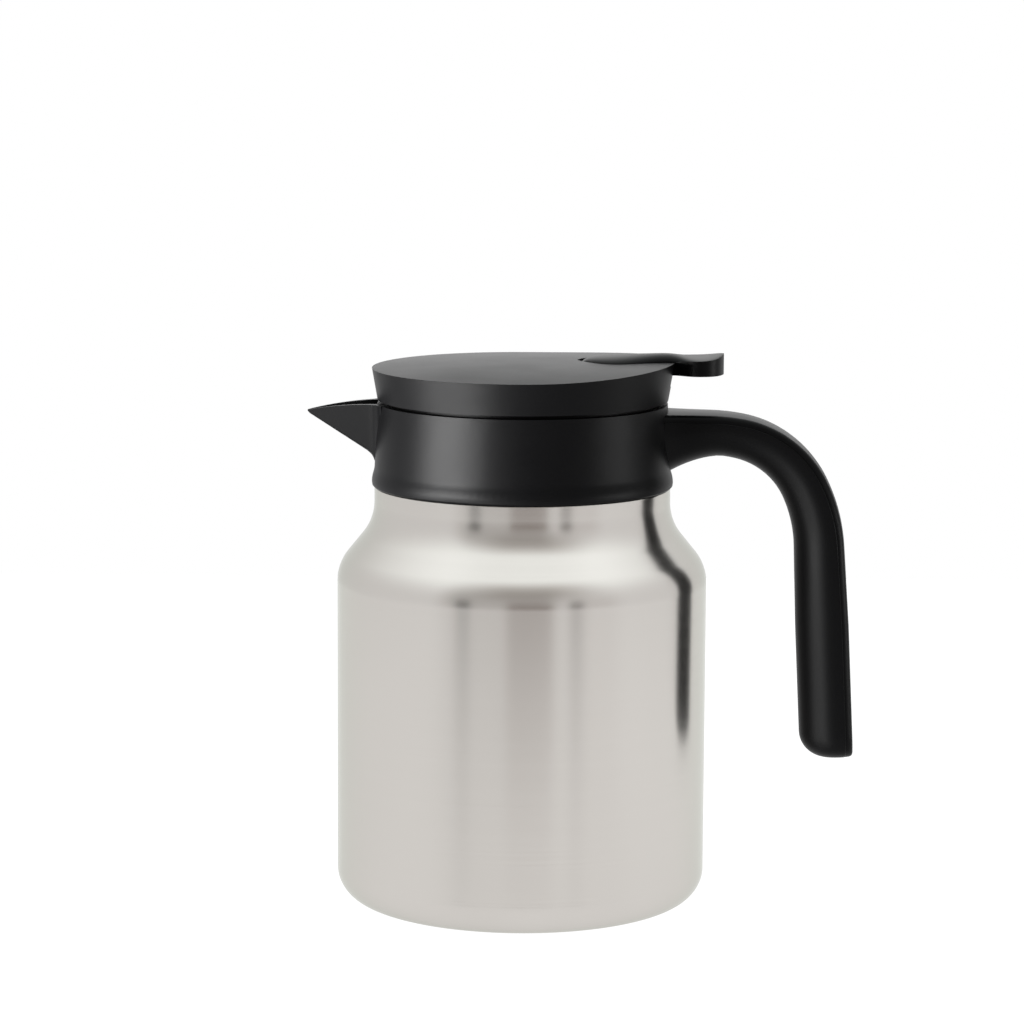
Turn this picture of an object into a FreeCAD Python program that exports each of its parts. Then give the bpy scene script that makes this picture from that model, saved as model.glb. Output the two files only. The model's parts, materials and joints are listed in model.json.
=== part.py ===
import FreeCAD, Part
import math
import os
import Sketcher

# A one-litre double-walled steel jug: a plastic collar with an open spout and a hook handle,
# and a press-in lid whose thumb lever lifts a sprung valve off its seat.
# Millimetres, +Z up. The origin is on the jug's axis at the table, +X points to the handle.

# Driving dimensions. Each group belongs to one piece or to one fit.
SIZES = [
    # steel vessel, outside
    ("bodyRadius", 60.0),
    ("baseCornerRadius", 10.2),
    ("shoulderStart", 105.4),
    ("shoulderRadius", 13.0),
    ("shoulderLean", 39.0),
    ("neckBlendRadius", 17.6),
    ("neckStep", 12.05),
    ("neckStraight", 4.083),
    ("neckEdgeRadius", 0.6),
    ("mouthStep", 3.35),
    ("mouthRise", 13.8),
    ("steelWall", 0.6),
    ("standInset", 3.6),
    ("beadDepth", 0.6),
    ("beadRise", 7.2),
    ("beadLength", 4.0),
    # steel vessel, inside
    ("vacuumGap", 5.4),
    ("linerBottom", 8.2),
    ("linerCornerRadius", 14.0),
    ("linerMouthStep", 3.1),
    ("mouthFlareRadius", 2.2),
    # base plate, vacuum port and getter
    ("baseRecess", 2.2),
    ("baseFlange", 1.6),
    ("baseBendRadius", 1.0),
    ("portRadius", 4.0),
    ("portDepth", 1.2),
    ("portHoleRadius", 0.8),
    ("plugThickness", 1.0),
    ("getterRadius", 5.0),
    ("getterThickness", 1.8),
    ("getterOffset", 24.0),
    # shared fits
    ("seatGap", 0.1),
    ("runningGap", 0.06),
    ("movingGap", 0.3),
    ("overrun", 8.0),
    # collar
    ("collarHeight", 27.8),
    ("collarFootOver", 0.1),
    ("collarLipOver", 0.75),
    ("collarLipHeight", 2.3),
    ("collarWaistInset", 0.15),
    ("collarWaistHeight", 7.8),
    ("collarTaper", 1.0),
    ("collarOver", 3.0),
    ("collarFootChamfer", 0.5),
    ("ledgeWidth", 2.2),
    ("ledgeThickness", 1.2),
    ("gasketThickness", 1.2),
    ("snapDepth", 0.35),
    # spout
    ("spoutLength", 22.7),
    ("spoutTipFall", 2.7),
    ("spoutTipDrop", 2.6),
    ("spoutFlankAngle", 21.6),
    ("spoutRootInset", 0.9),
    ("spoutKeelAngle", 32.8),
    ("spoutKeelRadius", 2.6),
    ("spoutTipRadius", 0.7),
    ("spoutWall", 1.5),
    ("spoutBlendRadius", 2.4),
    ("spoutTopRadius", 110.0),
    ("channelRoof", 2.0),
    ("channelFlankAngle", 30.0),
    ("channelRise", 0.4),
    ("channelKeelRadius", 2.0),
    ("channelTipInset", 1.0),
    # handle
    ("armRootInset", 2.9),
    ("armFall", 8.4),
    ("armPitch", 2.7),
    ("armLength", 16.9),
    ("kneeRadius", 60.0),
    ("kneeAngle", 9.2),
    ("bendRadius", 30.7),
    ("bendAngle", 52.7),
    ("hipRadius", 49.4),
    ("hipAngle", 22.5),
    ("legLength", 70.0),
    ("handleHalfWidth", 11.0),
    ("armOuterHalf", 6.4),
    ("armInnerHalf", 6.95),
    ("legOuterHalf", 8.6),
    ("legInnerHalf", 8.7),
    ("armRound", 9.4),
    ("rootHalfWidth", 13.4),
    ("rootDrop", 15.5),
    ("coverThickness", 2.7),
    ("coverCrown", 0.5),
    ("coverInset", 0.5),
    ("coverEdgeRadius", 1.0),
    ("creaseGap", 0.1),
    ("endCutDepth", 80.0),
    ("endPlanRadius", 7.6),
    ("endInnerRadius", 8.6),
    ("endOuterRadius", 1.6),
    # handle screws
    ("screwRadius", 1.3),
    ("screwHeadRadius", 2.4),
    ("screwHeadHeight", 1.3),
    ("screwLength", 7.2),
    ("screwSpacing", 9.0),
    ("screwDrop", 2.0),
    # lid shell
    ("lidLift", 1.2),
    ("lidOverCollar", 0.1),
    ("lidFlare", 1.8),
    ("lidWallHeight", 10.1),
    ("lidCrownRise", 2.7),
    ("lidWall", 2.0),
    ("lidSkin", 2.2),
    ("leverGap", 0.5),
    ("notchSill", 4.3),
    # lid floor
    ("floorThickness", 2.0),
    ("spigotWall", 1.8),
    ("spigotDepth", 4.0),
    ("postThickness", 2.2),
    ("postLength", 6.0),
    ("postCrown", 2.1),
    ("bossRadius", 3.2),
    ("lidScrewInset", 11.0),
    ("lidScrewRadius", 1.3),
    ("lidScrewHeadRadius", 2.6),
    ("lidScrewHeadHeight", 1.5),
    ("lidScrewLength", 6.4),
    ("guideRadius", 4.0),
    ("guideLength", 6.0),
    ("springSeatRadius", 7.0),
    ("springSeatDepth", 4.0),
    # stopper
    ("stopperClearance", 0.7),
    ("stopperWall", 1.8),
    ("plugDepth", 18.0),
    ("stopperFloor", 2.2),
    ("plugClearance", 1.3),
    ("plugWall", 3.2),
    ("plugCornerRadius", 2.5),
    ("valveHoleRadius", 8.0),
    ("seatRingWidth", 1.3),
    ("seatRingHeight", 1.0),
    ("windowHalfWidth", 8.0),
    ("windowSill", 2.0),
    ("windowHeight", 6.2),
    # stopper seals
    ("lipSealRise", 8.0),
    ("lipSealLength", 6.0),
    ("lipSealDepth", 1.3),
    ("lipPlay", 0.35),
    ("ringSealDrop", 1.4),
    ("ringSealRadius", 0.7),
    ("ringSealDepth", 1.0),
    # lever
    ("leverReach", 30.8),
    ("leafLength", 11.6),
    ("leafHalfWidth", 12.0),
    ("leafNose", 3.6),
    ("leafCheek", 0.8),
    ("leafTipRadius", 18.0),
    ("leafBowRadius", 8.5),
    ("neckHalfWidth", 6.5),
    ("neckInset", 1.8),
    ("neckRun", 5.0),
    ("neckTaper", 0.9),
    ("neckCurve", 22.0),
    ("tabCentreReach", 7.8),
    ("tabHalfWidth", 11.0),
    ("tabNose", 4.0),
    ("tabCheek", 0.9),
    ("tabCurve", 5.0),
    ("tabBowRadius", 9.0),
    ("tabEndRadius", 11.0),
    ("tabHollow", 3.4),
    ("tabReach", 15.8),
    ("leafTipRise", 0.6),
    ("leafRise", 1.6),
    ("neckRise", 2.3),
    ("tabDipRise", 1.1),
    ("tabTipRise", 2.3),
    ("leafCrownRadius", 50.0),
    ("tabCrownRadius", 90.0),
    ("leafThickness", 2.4),
    ("leafLift", 0.4),
    ("leverDepth", 6.0),
    ("neckDepth", 5.2),
    ("tabDepth", 4.2),
    ("tabWall", 1.8),
    # lever pivot and fork
    ("pivotInset", 10.8),
    ("pivotDepth", 4.6),
    ("pinRadius", 1.25),
    ("hubHalfWidth", 6.8),
    ("hubRadius", 2.7),
    ("stemArm", 16.5),
    ("forkPegRadius", 0.8),
    ("forkRise", 0.6),
    ("forkHalfWidth", 4.9),
    ("forkCheek", 1.4),
    ("forkBack", 4.6),
    # valve
    ("stemRadius", 1.5),
    ("stemHeadRadius", 3.0),
    ("stemHeadHeight", 1.1),
    ("clipRadius", 2.9),
    ("clipThickness", 0.9),
    ("stemTipOver", 0.3),
    ("sealRadius", 10.2),
    ("sealThickness", 1.5),
    ("discThickness", 1.6),
    ("discHubRadius", 3.6),
    ("discHubHeight", 2.4),
    ("springRadius", 5.6),
    ("springWire", 0.9),
    ("springTurns", 5.0),
    ("stemSealRadius", 2.3),
    ("stemSealSection", 0.72),
]

# Where the handle's sections stand, as shares of each run, with the root's flare beside them.
ROOT_SHARES = [(0.0, 1.0, 1.0), (0.195, 0.76, 0.62), (0.385, 0.51, 0.34),
               (0.6, 0.31, 0.15), (0.8, 0.18, 0.05), (1.0, 0.09, 0.0)]
FLARE_SHARES = [0.0, 0.13, 0.27, 0.41, 0.57, 0.78, 1.0]
KNEE_SHARES = [0.5, 1.0]
BEND_SHARES = [0.25, 0.5, 0.75, 1.0]
HIP_SHARES = [0.5, 1.0]
LEG_SHARES = [0.125, 0.25, 0.375, 0.5, 0.625, 0.75, 0.875, 1.0]
FULL_GROWTH_SHARE = 0.625
QUARTER_TURN = 90.0
RADIANS_SHARE = math.pi / 180
LID_SCREW_ANGLES = (60, 180, 300)

doc = FreeCAD.newDocument("ThermalJug")
sheet = doc.addObject("Spreadsheet::Sheet", "Sizes")
for row, (alias, value) in enumerate(SIZES, start=1):
    sheet.set("A%d" % row, alias)
    sheet.set("B%d" % row, "%r" % value)
    sheet.setAlias("B%d" % row, alias)
doc.recompute()


class Size:
    """A length, angle or share that knows its value and the sheet expression behind it."""

    def __init__(self, value, text):
        self.value = float(value)
        self.text = text

    def joined(self, other, sign, value):
        if isinstance(other, Size):
            return Size(value, "(%s %s %s)" % (self.text, sign, other.text))
        return Size(value, "(%s %s %r)" % (self.text, sign, float(other)))

    def __add__(self, other):
        return self.joined(other, "+", self.value + float(other))

    def __sub__(self, other):
        return self.joined(other, "-", self.value - float(other))

    def __mul__(self, other):
        return self.joined(other, "*", self.value * float(other))

    def __truediv__(self, other):
        return self.joined(other, "/", self.value / float(other))

    def __radd__(self, other):
        return self + other

    def __rmul__(self, other):
        return self * other

    def __neg__(self):
        return Size(-self.value, "(-1 * %s)" % self.text)

    def __float__(self):
        return self.value


def size(alias):
    return Size(sheet.get(alias), "Sizes.%s" % alias)


def sine(angle):
    return Size(math.sin(math.radians(float(angle))), "sin(%s)" % angle.text)


def cosine(angle):
    return Size(math.cos(math.radians(float(angle))), "cos(%s)" % angle.text)


def root(number):
    return Size(math.sqrt(float(number)), "sqrt(%s)" % number.text)


S = {alias: size(alias) for alias, value in SIZES}


def sum3(first, second, third):
    return S[first] + S[second] + S[third]


# Radii, from the wall of the body inwards and outwards: each follows the piece that carries it.
S["neckRadius"] = S["bodyRadius"] - S["neckStep"]
S["mouthRadius"] = S["neckRadius"] - S["mouthStep"]
S["linerMouthRadius"] = S["mouthRadius"] - S["linerMouthStep"]
S["collarFootRadius"] = S["neckRadius"] + S["collarFootOver"]
S["collarLipRadius"] = S["collarFootRadius"] + S["collarLipOver"]
S["collarWaistRadius"] = S["collarFootRadius"] - S["collarWaistInset"]
S["collarTopRadius"] = S["collarWaistRadius"] - S["collarTaper"]
S["chamberRadius"] = S["mouthRadius"]
S["ledgeRadius"] = S["mouthRadius"] - S["ledgeWidth"]
S["spoutReach"] = S["collarTopRadius"] + S["spoutLength"]
S["armStart"] = S["collarTopRadius"] - S["armRootInset"]
S["lidBottomRadius"] = S["collarTopRadius"] + S["lidOverCollar"]
S["lidRimRadius"] = S["lidBottomRadius"] + S["lidFlare"]
S["lidCrownRadius"] = (
    (S["lidRimRadius"] * S["lidRimRadius"] + S["lidCrownRise"] * S["lidCrownRise"])
    / (S["lidCrownRise"] * 2)
)
S["stopperRadius"] = S["chamberRadius"] - S["stopperClearance"]
S["spigotRadius"] = S["stopperRadius"] - S["stopperWall"] - S["seatGap"] * 2
S["plugRadius"] = S["linerMouthRadius"] - S["plugClearance"]
S["lipReach"] = S["plugClearance"] - S["lipPlay"]
S["lidScrewCircle"] = S["lidBottomRadius"] - S["lidScrewInset"]

# Places of the lever and the valve along +X, from the lid's rim inwards and outwards.
S["leverTip"] = S["lidRimRadius"] - S["leverReach"]
S["leafShoulder"] = S["leverTip"] + S["leafLength"]
S["pivotX"] = S["lidRimRadius"] - S["pivotInset"]
S["stemX"] = S["pivotX"] - S["stemArm"]
S["neckCentre"] = S["lidRimRadius"] - S["neckInset"]
S["tabCentre"] = S["lidRimRadius"] + S["tabCentreReach"]
S["tabEnd"] = S["lidRimRadius"] + S["tabReach"]

# Heights, from the shoulder up to the lever.
shoulderBend = S["shoulderRadius"] + S["neckBlendRadius"]
shoulderFall = S["neckStep"] - shoulderBend + shoulderBend * cosine(S["shoulderLean"])
S["shoulderSlope"] = shoulderFall / sine(S["shoulderLean"])
S["shoulderTop"] = (S["shoulderStart"] + shoulderBend * sine(S["shoulderLean"])
                    + S["shoulderSlope"] * cosine(S["shoulderLean"]))
S["neckTop"] = S["shoulderTop"] + S["neckStraight"]
S["mouthTop"] = S["neckTop"] + S["mouthRise"]
S["beadHeight"] = S["neckTop"] + S["beadRise"]
S["collarTop"] = S["neckTop"] + S["collarHeight"]
S["ledgeTop"] = sum3("mouthTop", "gasketThickness", "ledgeThickness")
S["channelFloor"] = S["ledgeTop"] + S["channelRise"]
S["channelTop"] = S["collarTop"] - S["channelRoof"]
S["spoutTipHeight"] = S["collarTop"] - S["spoutTipFall"]
S["armHeight"] = S["collarTop"] - S["armFall"]
S["screwHeight"] = S["mouthTop"] - S["screwDrop"]
S["stopperBottom"] = S["mouthTop"] - S["plugDepth"]
S["windowBottom"] = S["ledgeTop"] + S["windowSill"]
S["windowTop"] = S["windowBottom"] + S["windowHeight"]
S["lipSealHeight"] = S["stopperBottom"] + S["lipSealRise"]
S["ringSealHeight"] = S["collarTop"] - S["ringSealDrop"]
S["lidBottom"] = S["collarTop"] + S["lidLift"]
S["notchBottom"] = S["lidBottom"] + S["notchSill"]
S["lidRimHeight"] = S["lidBottom"] + S["lidWallHeight"]
S["lidCrest"] = S["lidRimHeight"] + S["lidCrownRise"]
S["leafTipHeight"] = S["lidCrest"] + S["leafTipRise"]
S["leafCrest"] = S["lidCrest"] + S["leafRise"]
S["neckCrest"] = S["lidCrest"] + S["neckRise"]
S["tabDip"] = S["lidCrest"] + S["tabDipRise"]
S["tabTipHeight"] = S["lidCrest"] + S["tabTipRise"]
S["leverBase"] = S["lidCrest"] - S["leverDepth"]
S["neckBottom"] = S["lidCrest"] - S["neckDepth"]
S["tabBottom"] = S["lidCrest"] - S["tabDepth"]
S["pivotHeight"] = S["lidCrest"] - S["pivotDepth"]
S["forkHeight"] = S["pivotHeight"] + S["forkRise"]
S["clipBottom"] = sum3("forkHeight", "forkPegRadius", "seatGap")
S["stemTipHeight"] = sum3("clipBottom", "clipThickness", "stemTipOver")


def bind(thing, prop, amount):
    """Ties a property to the sheet, or sets it where the amount is a plain number."""
    if isinstance(amount, Size):
        thing.setExpression(prop, amount.text)
    else:
        setattr(thing, prop, amount)


def newBody(name):
    body = doc.addObject("PartDesign::Body", name)
    return body


def originPart(body, role):
    return [part for part in body.Origin.OriginFeatures if part.Role == role][0]


def newSketch(body, name, plane, lift=None):
    """A sketch on one of the body's own planes, lifted along the plane's normal."""
    sketch = body.newObject("Sketcher::SketchObject", name)
    sketch.AttachmentSupport = [(originPart(body, plane), "")]
    sketch.MapMode = "FlatFace"
    if lift is not None:
        bind(sketch, "AttachmentOffset.Base.z", lift)
    return sketch


def arcBetween(start, end, radius):
    """The short arc from start to end; a positive radius turns left, a negative one right."""
    chord = end - start
    reach = abs(float(radius))
    height = math.sqrt(max(reach ** 2 - (chord.Length / 2) ** 2, 0.0))
    normal = FreeCAD.Vector(-chord.y, chord.x, 0).normalize()
    side = 1.0 if float(radius) > 0 else -1.0
    centre = (start + end) / 2 + normal * height * side
    first, last = (start, end) if side > 0 else (end, start)
    angles = [math.atan2(p.y - centre.y, p.x - centre.x) for p in (first, last)]
    if angles[1] < angles[0]:
        angles[1] += 2 * math.pi
    circle = Part.Circle(centre, FreeCAD.Vector(0, 0, 1), reach)
    return Part.ArcOfCircle(circle, angles[0], angles[1])


def place(sketch, geometry, point, spot):
    """Ties a point of the sketch to its two coordinates."""
    for kind, value, axis in (("DistanceX", spot[0], -2), ("DistanceY", spot[1], -1)):
        if isinstance(value, Size):
            number = sketch.addConstraint(
                Sketcher.Constraint(kind, geometry, point, float(value))
            )
            sketch.setExpression("Constraints[%d]" % number, value.text)
        else:
            sketch.addConstraint(
                Sketcher.Constraint("PointOnObject", geometry, point, axis)
            )


def outline(sketch, corners):
    """A closed outline. A corner is (u, v), or (u, v, radius) where an arc leads up to it."""
    spots = [FreeCAD.Vector(float(c[0]), float(c[1]), 0) for c in corners]
    count = len(corners)
    firsts = []
    for i in range(count):
        end = (i + 1) % count
        if len(corners[end]) == 3:
            radius = corners[end][2]
            piece = arcBetween(spots[i], spots[end], radius)
            number = sketch.addGeometry(piece, False)
            bound = sketch.addConstraint(
                Sketcher.Constraint("Radius", number, abs(float(radius)))
            )
            if isinstance(radius, Size):
                sign = "" if float(radius) > 0 else "-1 * "
                sketch.setExpression("Constraints[%d]" % bound, sign + radius.text)
            firsts.append((number, 1, 2) if float(radius) > 0 else (number, 2, 1))
        else:
            number = sketch.addGeometry(Part.LineSegment(spots[i], spots[end]), False)
            firsts.append((number, 1, 2))
    for i in range(count):
        here = firsts[i]
        before = firsts[i - 1]
        sketch.addConstraint(
            Sketcher.Constraint("Coincident", before[0], before[2], here[0], here[1])
        )
        place(sketch, here[0], here[1], corners[i])


def circleIn(sketch, spot, radius):
    centre = FreeCAD.Vector(float(spot[0]), float(spot[1]), 0)
    number = sketch.addGeometry(
        Part.Circle(centre, FreeCAD.Vector(0, 0, 1), float(radius)), False
    )
    bound = sketch.addConstraint(Sketcher.Constraint("Radius", number, float(radius)))
    sketch.setExpression("Constraints[%d]" % bound, radius.text)
    place(sketch, number, 3, spot)


def turned(body, name, corners, cut=False, axis="Z_Axis", plane="XZ_Plane", angle=None):
    """A revolution, or a groove where cut is true, of an outline about one of the axes."""
    sketch = newSketch(body, name + "Sketch", plane)
    outline(sketch, corners)
    kind = "PartDesign::Groove" if cut else "PartDesign::Revolution"
    feature = body.newObject(kind, name)
    feature.Profile = sketch
    feature.ReferenceAxis = (originPart(body, axis), [""])
    feature.Angle = 360.0 if angle is None else angle
    return feature


def finish(feature, name, length, both, through):
    if through:
        feature.Type = "ThroughAll"
    else:
        bind(feature, "Length", length)
    if both:
        feature.SideType = "Symmetric"


def padded(body, name, plane, corners, length, lift=None, both=False, back=False):
    """A pad of an outline."""
    sketch = newSketch(body, name + "Sketch", plane, lift)
    outline(sketch, corners)
    feature = body.newObject("PartDesign::Pad", name)
    feature.Profile = sketch
    finish(feature, name, length, both, False)
    feature.Reversed = back
    return feature


def disc(body, name, plane, spots, radius, length, lift=None, both=False, back=False, cut=False):
    """Round pads, or round holes where cut is true, at one or more spots."""
    sketch = newSketch(body, name + "Sketch", plane, lift)
    for spot in spots:
        circleIn(sketch, spot, radius)
    feature = body.newObject("PartDesign::Pocket" if cut else "PartDesign::Pad", name)
    feature.Profile = sketch
    finish(feature, name, length, both, False)
    feature.Reversed = back
    return feature


def pocketed(body, name, plane, corners, length, lift=None, both=False, back=False):
    """A pocket of an outline."""
    sketch = newSketch(body, name + "Sketch", plane, lift)
    outline(sketch, corners)
    feature = body.newObject("PartDesign::Pocket", name)
    feature.Profile = sketch
    finish(feature, name, length, both, False)
    feature.Reversed = back
    return feature


PIECES = {}


def keep(label, thing):
    thing.Label = label
    PIECES[label] = thing


def box(low, high):
    """Corners of a rectangle, anticlockwise, from its low and high corner."""
    return [(low[0], low[1]), (high[0], low[1]), (high[0], high[1]), (low[0], high[1])]


def walkedBack(corners):
    """The same line walked from its end to its start, so each arc turns the other way."""
    back = []
    for i in range(len(corners) - 1, -1, -1):
        after = corners[i + 1] if i + 1 < len(corners) else corners[i][:2]
        if len(after) == 3:
            back.append((corners[i][0], corners[i][1], -after[2]))
        else:
            back.append((corners[i][0], corners[i][1]))
    return back


# Outer shell: base corner, wall, shoulder, neck and mouth tube in one spun profile.
def shoulderPoints(inset):
    """The wall line from the body to the neck, drawn in by inset along its normal."""
    lean = S["shoulderLean"]
    convex = S["shoulderRadius"] - inset
    concave = S["neckBlendRadius"] + inset
    centreX = S["bodyRadius"] - S["shoulderRadius"]
    firstX = centreX + convex * cosine(lean)
    firstZ = S["shoulderStart"] + convex * sine(lean)
    neckX = S["neckRadius"] + S["neckBlendRadius"]
    topZ = S["shoulderTop"]
    lastX = neckX - concave * cosine(lean)
    lastZ = topZ - concave * sine(lean)
    return [
        (S["bodyRadius"] - inset, S["shoulderStart"]),
        (firstX, firstZ, convex),
        (lastX, lastZ),
        (S["neckRadius"] - inset, topZ, -concave),
    ]


def outerShell():
    body = newBody("OuterShell")
    wall = S["steelWall"]
    corner = S["baseCornerRadius"]
    flat = S["bodyRadius"] - corner
    lipIn = flat - S["standInset"]
    bead = S["beadLength"] / 2
    outside = [(lipIn, 0), (flat, 0), (S["bodyRadius"], corner, corner)]
    outside += shoulderPoints(0 * wall)
    outside += [
        (S["neckRadius"], S["neckTop"] - S["neckEdgeRadius"]),
        (S["neckRadius"] - S["neckEdgeRadius"], S["neckTop"], S["neckEdgeRadius"]),
        (S["mouthRadius"], S["neckTop"]),
        (S["mouthRadius"], S["beadHeight"] - bead),
        (S["mouthRadius"] - S["beadDepth"], S["beadHeight"] - bead / 2),
        (S["mouthRadius"] - S["beadDepth"], S["beadHeight"] + bead / 2),
        (S["mouthRadius"], S["beadHeight"] + bead),
        (S["mouthRadius"], S["mouthTop"] - wall),
    ]
    inside = [(lipIn, S["baseRecess"]), (lipIn + wall, S["baseRecess"]), (lipIn + wall, wall),
              (flat, wall), (S["bodyRadius"] - wall, corner, corner - wall)]
    inside += shoulderPoints(wall)
    inside += [
        (S["neckRadius"] - wall, S["neckTop"] - wall),
        (S["mouthRadius"] - wall, S["neckTop"] - wall),
        (S["mouthRadius"] - wall, S["beadHeight"] - bead),
        (S["mouthRadius"] - wall - S["beadDepth"], S["beadHeight"] - bead / 2),
        (S["mouthRadius"] - wall - S["beadDepth"], S["beadHeight"] + bead / 2),
        (S["mouthRadius"] - wall, S["beadHeight"] + bead),
        (S["mouthRadius"] - wall, S["mouthTop"] - wall),
    ]
    turned(body, "ShellProfile", outside + walkedBack(inside))
    keep("outer_shell", body)



# Inner liner: the same line drawn in by the vacuum gap, closing over the shell's mouth.
def innerLiner():
    body = newBody("InnerLiner")
    wall = S["steelWall"]
    gap = S["vacuumGap"]
    reach = S["bodyRadius"] - gap
    corner = S["linerCornerRadius"]
    bottom = S["linerBottom"]
    mouth = S["linerMouthRadius"]
    flare = S["mouthFlareRadius"]
    top = S["mouthTop"]
    shoulder = S["shoulderStart"]
    blend = S["neckBlendRadius"]
    lean = S["shoulderLean"]
    convex = S["shoulderRadius"]

    def wallLine(inset):
        """Liner line from the bottom's centre to the mouth rim, drawn in by inset."""
        firstX = reach - convex + (convex - inset) * cosine(lean)
        firstZ = shoulder + (convex - inset) * sine(lean)
        lastX = mouth + wall + blend - (blend + inset) * cosine(lean)
        run = (reach - convex + convex * cosine(lean)
               - (mouth + wall + blend - blend * cosine(lean)))
        slope = run / sine(lean)
        neckZ = (shoulder + convex * sine(lean) + slope * cosine(lean) + blend * sine(lean))
        lastZ = neckZ - (blend + inset) * sine(lean)
        return [
            (0, bottom + inset),
            (reach - corner, bottom + inset),
            (reach - inset, bottom + corner, corner - inset),
            (reach - inset, shoulder),
            (firstX, firstZ, convex - inset),
            (lastX, lastZ),
            (mouth + wall - inset, neckZ, -(blend + inset)),
        ]

    outside = wallLine(0 * wall)
    outside += [
        (mouth + wall, top - wall - flare),
        (mouth + wall + flare, top - wall, -flare),
        (S["mouthRadius"], top - wall),
        (S["mouthRadius"], top),
    ]
    inside = wallLine(wall)
    inside += [
        (mouth, top - wall - flare),
        (mouth + wall + flare, top, -(flare + wall)),
    ]
    turned(body, "LinerProfile", outside + walkedBack(inside))
    keep("inner_liner", body)


# Base plate: a pressed disc let into the shell's foot, with the pinched-off vacuum port.
def basePlate():
    body = newBody("BasePlate")
    wall = S["steelWall"]
    edge = S["bodyRadius"] - S["baseCornerRadius"] - S["standInset"] - S["seatGap"]
    low = S["baseRecess"]
    bend = S["baseBendRadius"]
    port = S["portRadius"]
    dent = low + S["portDepth"]
    turned(body, "PlateProfile", [
        (0, dent),
        (port, dent),
        (port, low),
        (edge - bend - wall, low),
        (edge - wall, low - bend, -bend),
        (edge - wall, low - S["baseFlange"]),
        (edge, low - S["baseFlange"]),
        (edge, low - bend),
        (edge - bend - wall, low + wall, bend + wall),
        (port + wall, low + wall),
        (port + wall, dent + wall),
        (0, dent + wall),
    ])
    disc(body, "PortHole", "XY_Plane", [(0, 0)], S["portHoleRadius"], S["overrun"], cut=True,
         both=True)
    keep("base_plate", body)


def vacuumPort():
    body = newBody("PortPlug")
    dent = S["baseRecess"] + S["portDepth"]
    low = dent - S["plugThickness"]
    turned(body, "PlugProfile", [
        (0, low),
        (S["portRadius"] - S["seatGap"] - S["plugThickness"], low),
        (S["portRadius"] - S["seatGap"], dent, -S["portRadius"]),
        (0, dent),
    ])
    keep("port_plug", body)


def getterPill():
    body = newBody("Getter")
    top = S["linerBottom"]
    disc(body, "GetterPill", "XY_Plane", [(S["getterOffset"], 0)], S["getterRadius"],
         S["getterThickness"], lift=top - S["getterThickness"])
    keep("getter", body)


# Collar: foot, lip, waist and top outside; neck seat, ledge and pour chamber inside.
def collarOutside(gap):
    """The collar's outer line from foot to top, pushed out by gap and run on past the top."""
    low = S["neckTop"]
    foot = S["collarFootRadius"] + gap
    lip = S["collarLipRadius"] + gap
    waist = S["collarWaistRadius"] + gap
    top = S["collarTopRadius"] + gap
    lipHeight = low + S["collarLipHeight"]
    waistHeight = low + S["collarWaistHeight"]
    inward = S["collarLipRadius"] - S["collarWaistRadius"]
    rise = S["collarWaistHeight"] - S["collarLipHeight"]
    bend = (inward * inward + rise * rise) / (inward * 4)
    lean = (waist - top) / (S["collarTop"] - waistHeight)
    return [
        (foot - S["collarFootChamfer"], low),
        (foot, low + S["collarFootChamfer"]),
        (lip, lipHeight),
        ((lip + waist) / 2, (lipHeight + waistHeight) / 2, bend),
        (waist, waistHeight, -bend),
        (top - lean * S["collarOver"], S["collarTop"] + S["collarOver"]),
    ]


def spoutCollar():
    body = newBody("SpoutCollar")
    gap = S["seatGap"]
    neck = S["mouthRadius"] + gap
    bead = S["beadLength"] / 2
    snap = S["snapDepth"]
    ledge = S["mouthTop"] + S["gasketThickness"]
    ledgeTop = S["ledgeTop"]
    corners = collarOutside(0 * gap) + [
        (S["chamberRadius"], S["collarTop"] + S["collarOver"]),
        (S["chamberRadius"], ledgeTop),
        (S["ledgeRadius"], ledgeTop),
        (S["ledgeRadius"], ledge),
        (neck, ledge),
        (neck, S["beadHeight"] + bead),
        (neck - snap, S["beadHeight"] + bead / 2),
        (neck - snap, S["beadHeight"] - bead / 2),
        (neck, S["beadHeight"] - bead),
        (neck, S["neckTop"]),
    ]
    turned(body, "CollarProfile", corners)
    addSpout(body)
    cutChannel(body)
    spots = screwSpots()
    reach = S["mouthRadius"]
    disc(body, "HeadRecess", "YZ_Plane", spots, S["screwHeadRadius"] + gap,
         S["screwHeadHeight"] + S["overrun"], lift=reach - S["overrun"], cut=True, back=True)
    disc(body, "ScrewHoles", "YZ_Plane", spots, S["screwRadius"] + gap,
         2 * S["overrun"], lift=reach, cut=True, back=True)
    keep("spout_collar", body)


def mouthGasket():
    body = newBody("MouthGasket")
    low = S["mouthTop"]
    high = low + S["gasketThickness"]
    turned(body, "GasketProfile", [
        (S["ledgeRadius"], low),
        (S["mouthRadius"], low),
        (S["mouthRadius"], high),
        (S["ledgeRadius"], high),
    ])
    keep("mouth_gasket", body)


# Spout: a beak of constant flank angle, cut open from above, fed through the collar's wall.
def beakSection(bottom, top, keel, flank, wide=0.0):
    """A level top, two slanted flanks and a round keel, as corners in Y and Z."""
    tangentY = keel * cosine(flank)
    tangentZ = bottom + keel - keel * sine(flank)
    halfWidth = tangentY + (top - tangentZ) * sine(flank) / cosine(flank) + wide
    return [(tangentY, tangentZ, keel), (halfWidth, top), (-halfWidth, top),
            (-tangentY, tangentZ)]


def lofted(body, name, sections, cut=False, ruled=True):
    """A loft through outlines given as (distance along X, corners in Y and Z)."""
    sketches = []
    for number, (reach, corners) in enumerate(sections):
        sketch = newSketch(body, "%sSection%d" % (name, number), "YZ_Plane", reach)
        outline(sketch, corners)
        sketches.append(sketch)
    kind = "PartDesign::SubtractiveLoft" if cut else "PartDesign::AdditiveLoft"
    feature = body.newObject(kind, name)
    feature.Profile = sketches[0]
    feature.Sections = sketches[1:]
    feature.Ruled = ruled
    return feature


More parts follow.
